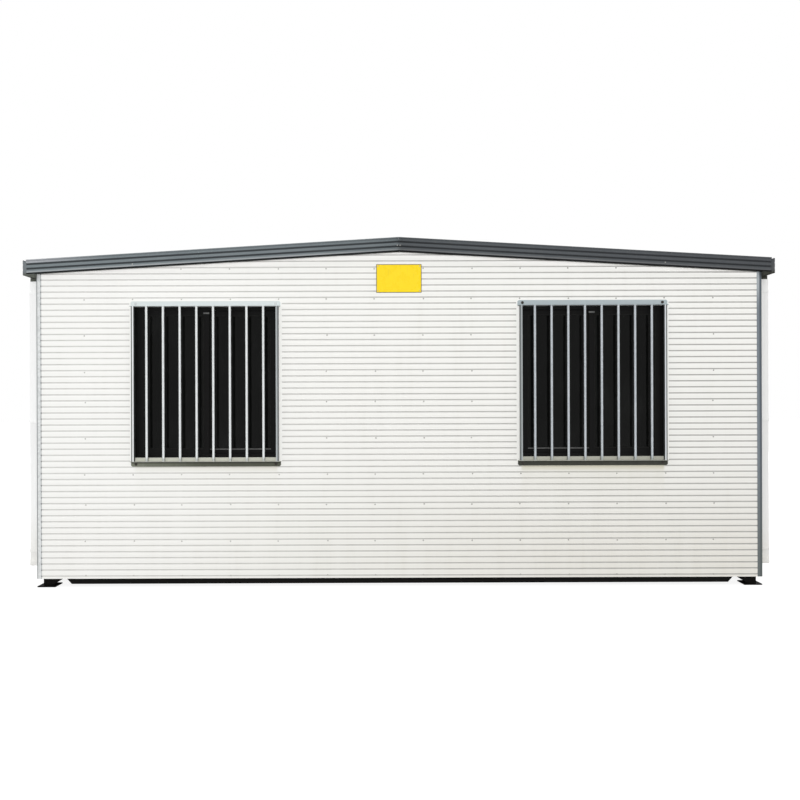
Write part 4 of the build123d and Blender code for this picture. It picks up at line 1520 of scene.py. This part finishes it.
def rivet_plate(paint):
    shape = bmesh.new()
    for x in (plate_low.x + plate_rivet_inset, plate_high.x - plate_rivet_inset):
        for z in (plate_low.z + plate_rivet_inset, plate_high.z - plate_rivet_inset):
            seat = Vector((x, plate_low.y, z))
            rivet(shape, seat, outwards("front"), *plate_rivet)
    set_up("sign_plate_rivets", shape, paint)


dress("sign_plate", yellow_enamel(), plate_edge)
rivet_plate(screw_paint)


# ---- Studio -----------------------------------------------------------------
# A pale floor, a plain white surround and a large soft light far off on each of the four sides, the
# strongest in front. The camera stands level in front, at eye height, with a slight roll.
eye = Vector((0.006, -8.498, 1.54))
lens_mm, film_mm = 38.07, 36.0
eye_roll = math.radians(-0.19)
surround_light = 0.60
floor_reach, floor_points, floor_shown = 60.0, 64, 0.86
# Each light's place, the point it looks at, its width in metres and its power in watts
lights = {
    "key_light": ((0.2, -20.0, 3.4), (0, -1.5, 1.4), 5.5, 2330),
    "back_light": ((5.0, 19.0, 4.6), (0, 1.5, 1.4), 6.0, 1700),
    "left_light": ((-18.0, 0.5, 4.0), (-3, 0, 1.4), 6.0, 800),
    "right_light": ((18.0, 0.5, 4.0), (3, 0, 1.4), 6.0, 800),
}


def studio_light(name, place, aim, width, power):
    """A round soft light that looks from its place at a point, and isn't seen or reflected itself."""
    lamp = bpy.data.lights.new(name, "AREA")
    lamp.shape = "DISK"
    lamp.size = width
    lamp.energy = power
    made = bpy.data.objects.new(name, lamp)
    made.location = place
    made.rotation_euler = (Vector(aim) - Vector(place)).to_track_quat("-Z", "Y").to_euler()
    made.visible_camera = False
    made.visible_glossy = False
    bpy.context.scene.collection.objects.link(made)


def shown_white(start):
    """1 for what the camera, a reflection or clear glass sees, and 0 for the light itself."""
    camera, glossy, through = [start.node("ShaderNodeLightPath", output=f"Is {kind} Ray")
                               for kind in ("Camera", "Glossy", "Transmission")]
    return camera.most(glossy).most(through)


def floor_paint():
    material, shader, place = coat("floor_paint", rough=0.9, specular=0.1)
    feed(shader, "Base Color", place.noise(0.6, 2).mix((0.30, 0.30, 0.30), (0.32, 0.32, 0.32)))
    feed(shader, "Emission Color", shown_white(place).mix((0, 0, 0), (floor_shown,) * 3))
    feed(shader, "Emission Strength", 1.0)
    return material


def lay_floor():
    shape = bmesh.new()
    bmesh.ops.create_circle(shape, cap_ends=True, segments=floor_points, radius=floor_reach)
    mesh = bpy.data.meshes.new("studio_floor")
    shape.to_mesh(mesh)
    shape.free()
    mesh.materials.append(floor_paint())
    made = bpy.data.objects.new("studio_floor", mesh)
    made.location.z = cad_low.z
    bpy.context.scene.collection.objects.link(made)


def light_surround():
    world = bpy.data.worlds.new("surround")
    bpy.context.scene.world = world
    world.use_nodes = True
    background = world.node_tree.nodes["Background"]
    shown = shown_white(Socket(world.node_tree))
    feed(background, "Color", shown.mix((surround_light,) * 3, (1, 1, 1)))


lay_floor()
light_surround()
for name, (place, aim, width, power) in lights.items():
    studio_light(name, place, aim, width, power)

camera = bpy.data.objects.new("camera", bpy.data.cameras.new("camera"))
camera.data.lens = lens_mm
camera.data.sensor_width = film_mm
camera.location = eye
level_forward = Matrix.Rotation(math.radians(90), 4, "X")
camera.rotation_euler = (level_forward @ Matrix.Rotation(eye_roll, 4, "Z")).to_euler()
bpy.context.scene.collection.objects.link(camera)
bpy.context.scene.camera = camera
bpy.context.scene.view_settings.view_transform = "Standard"
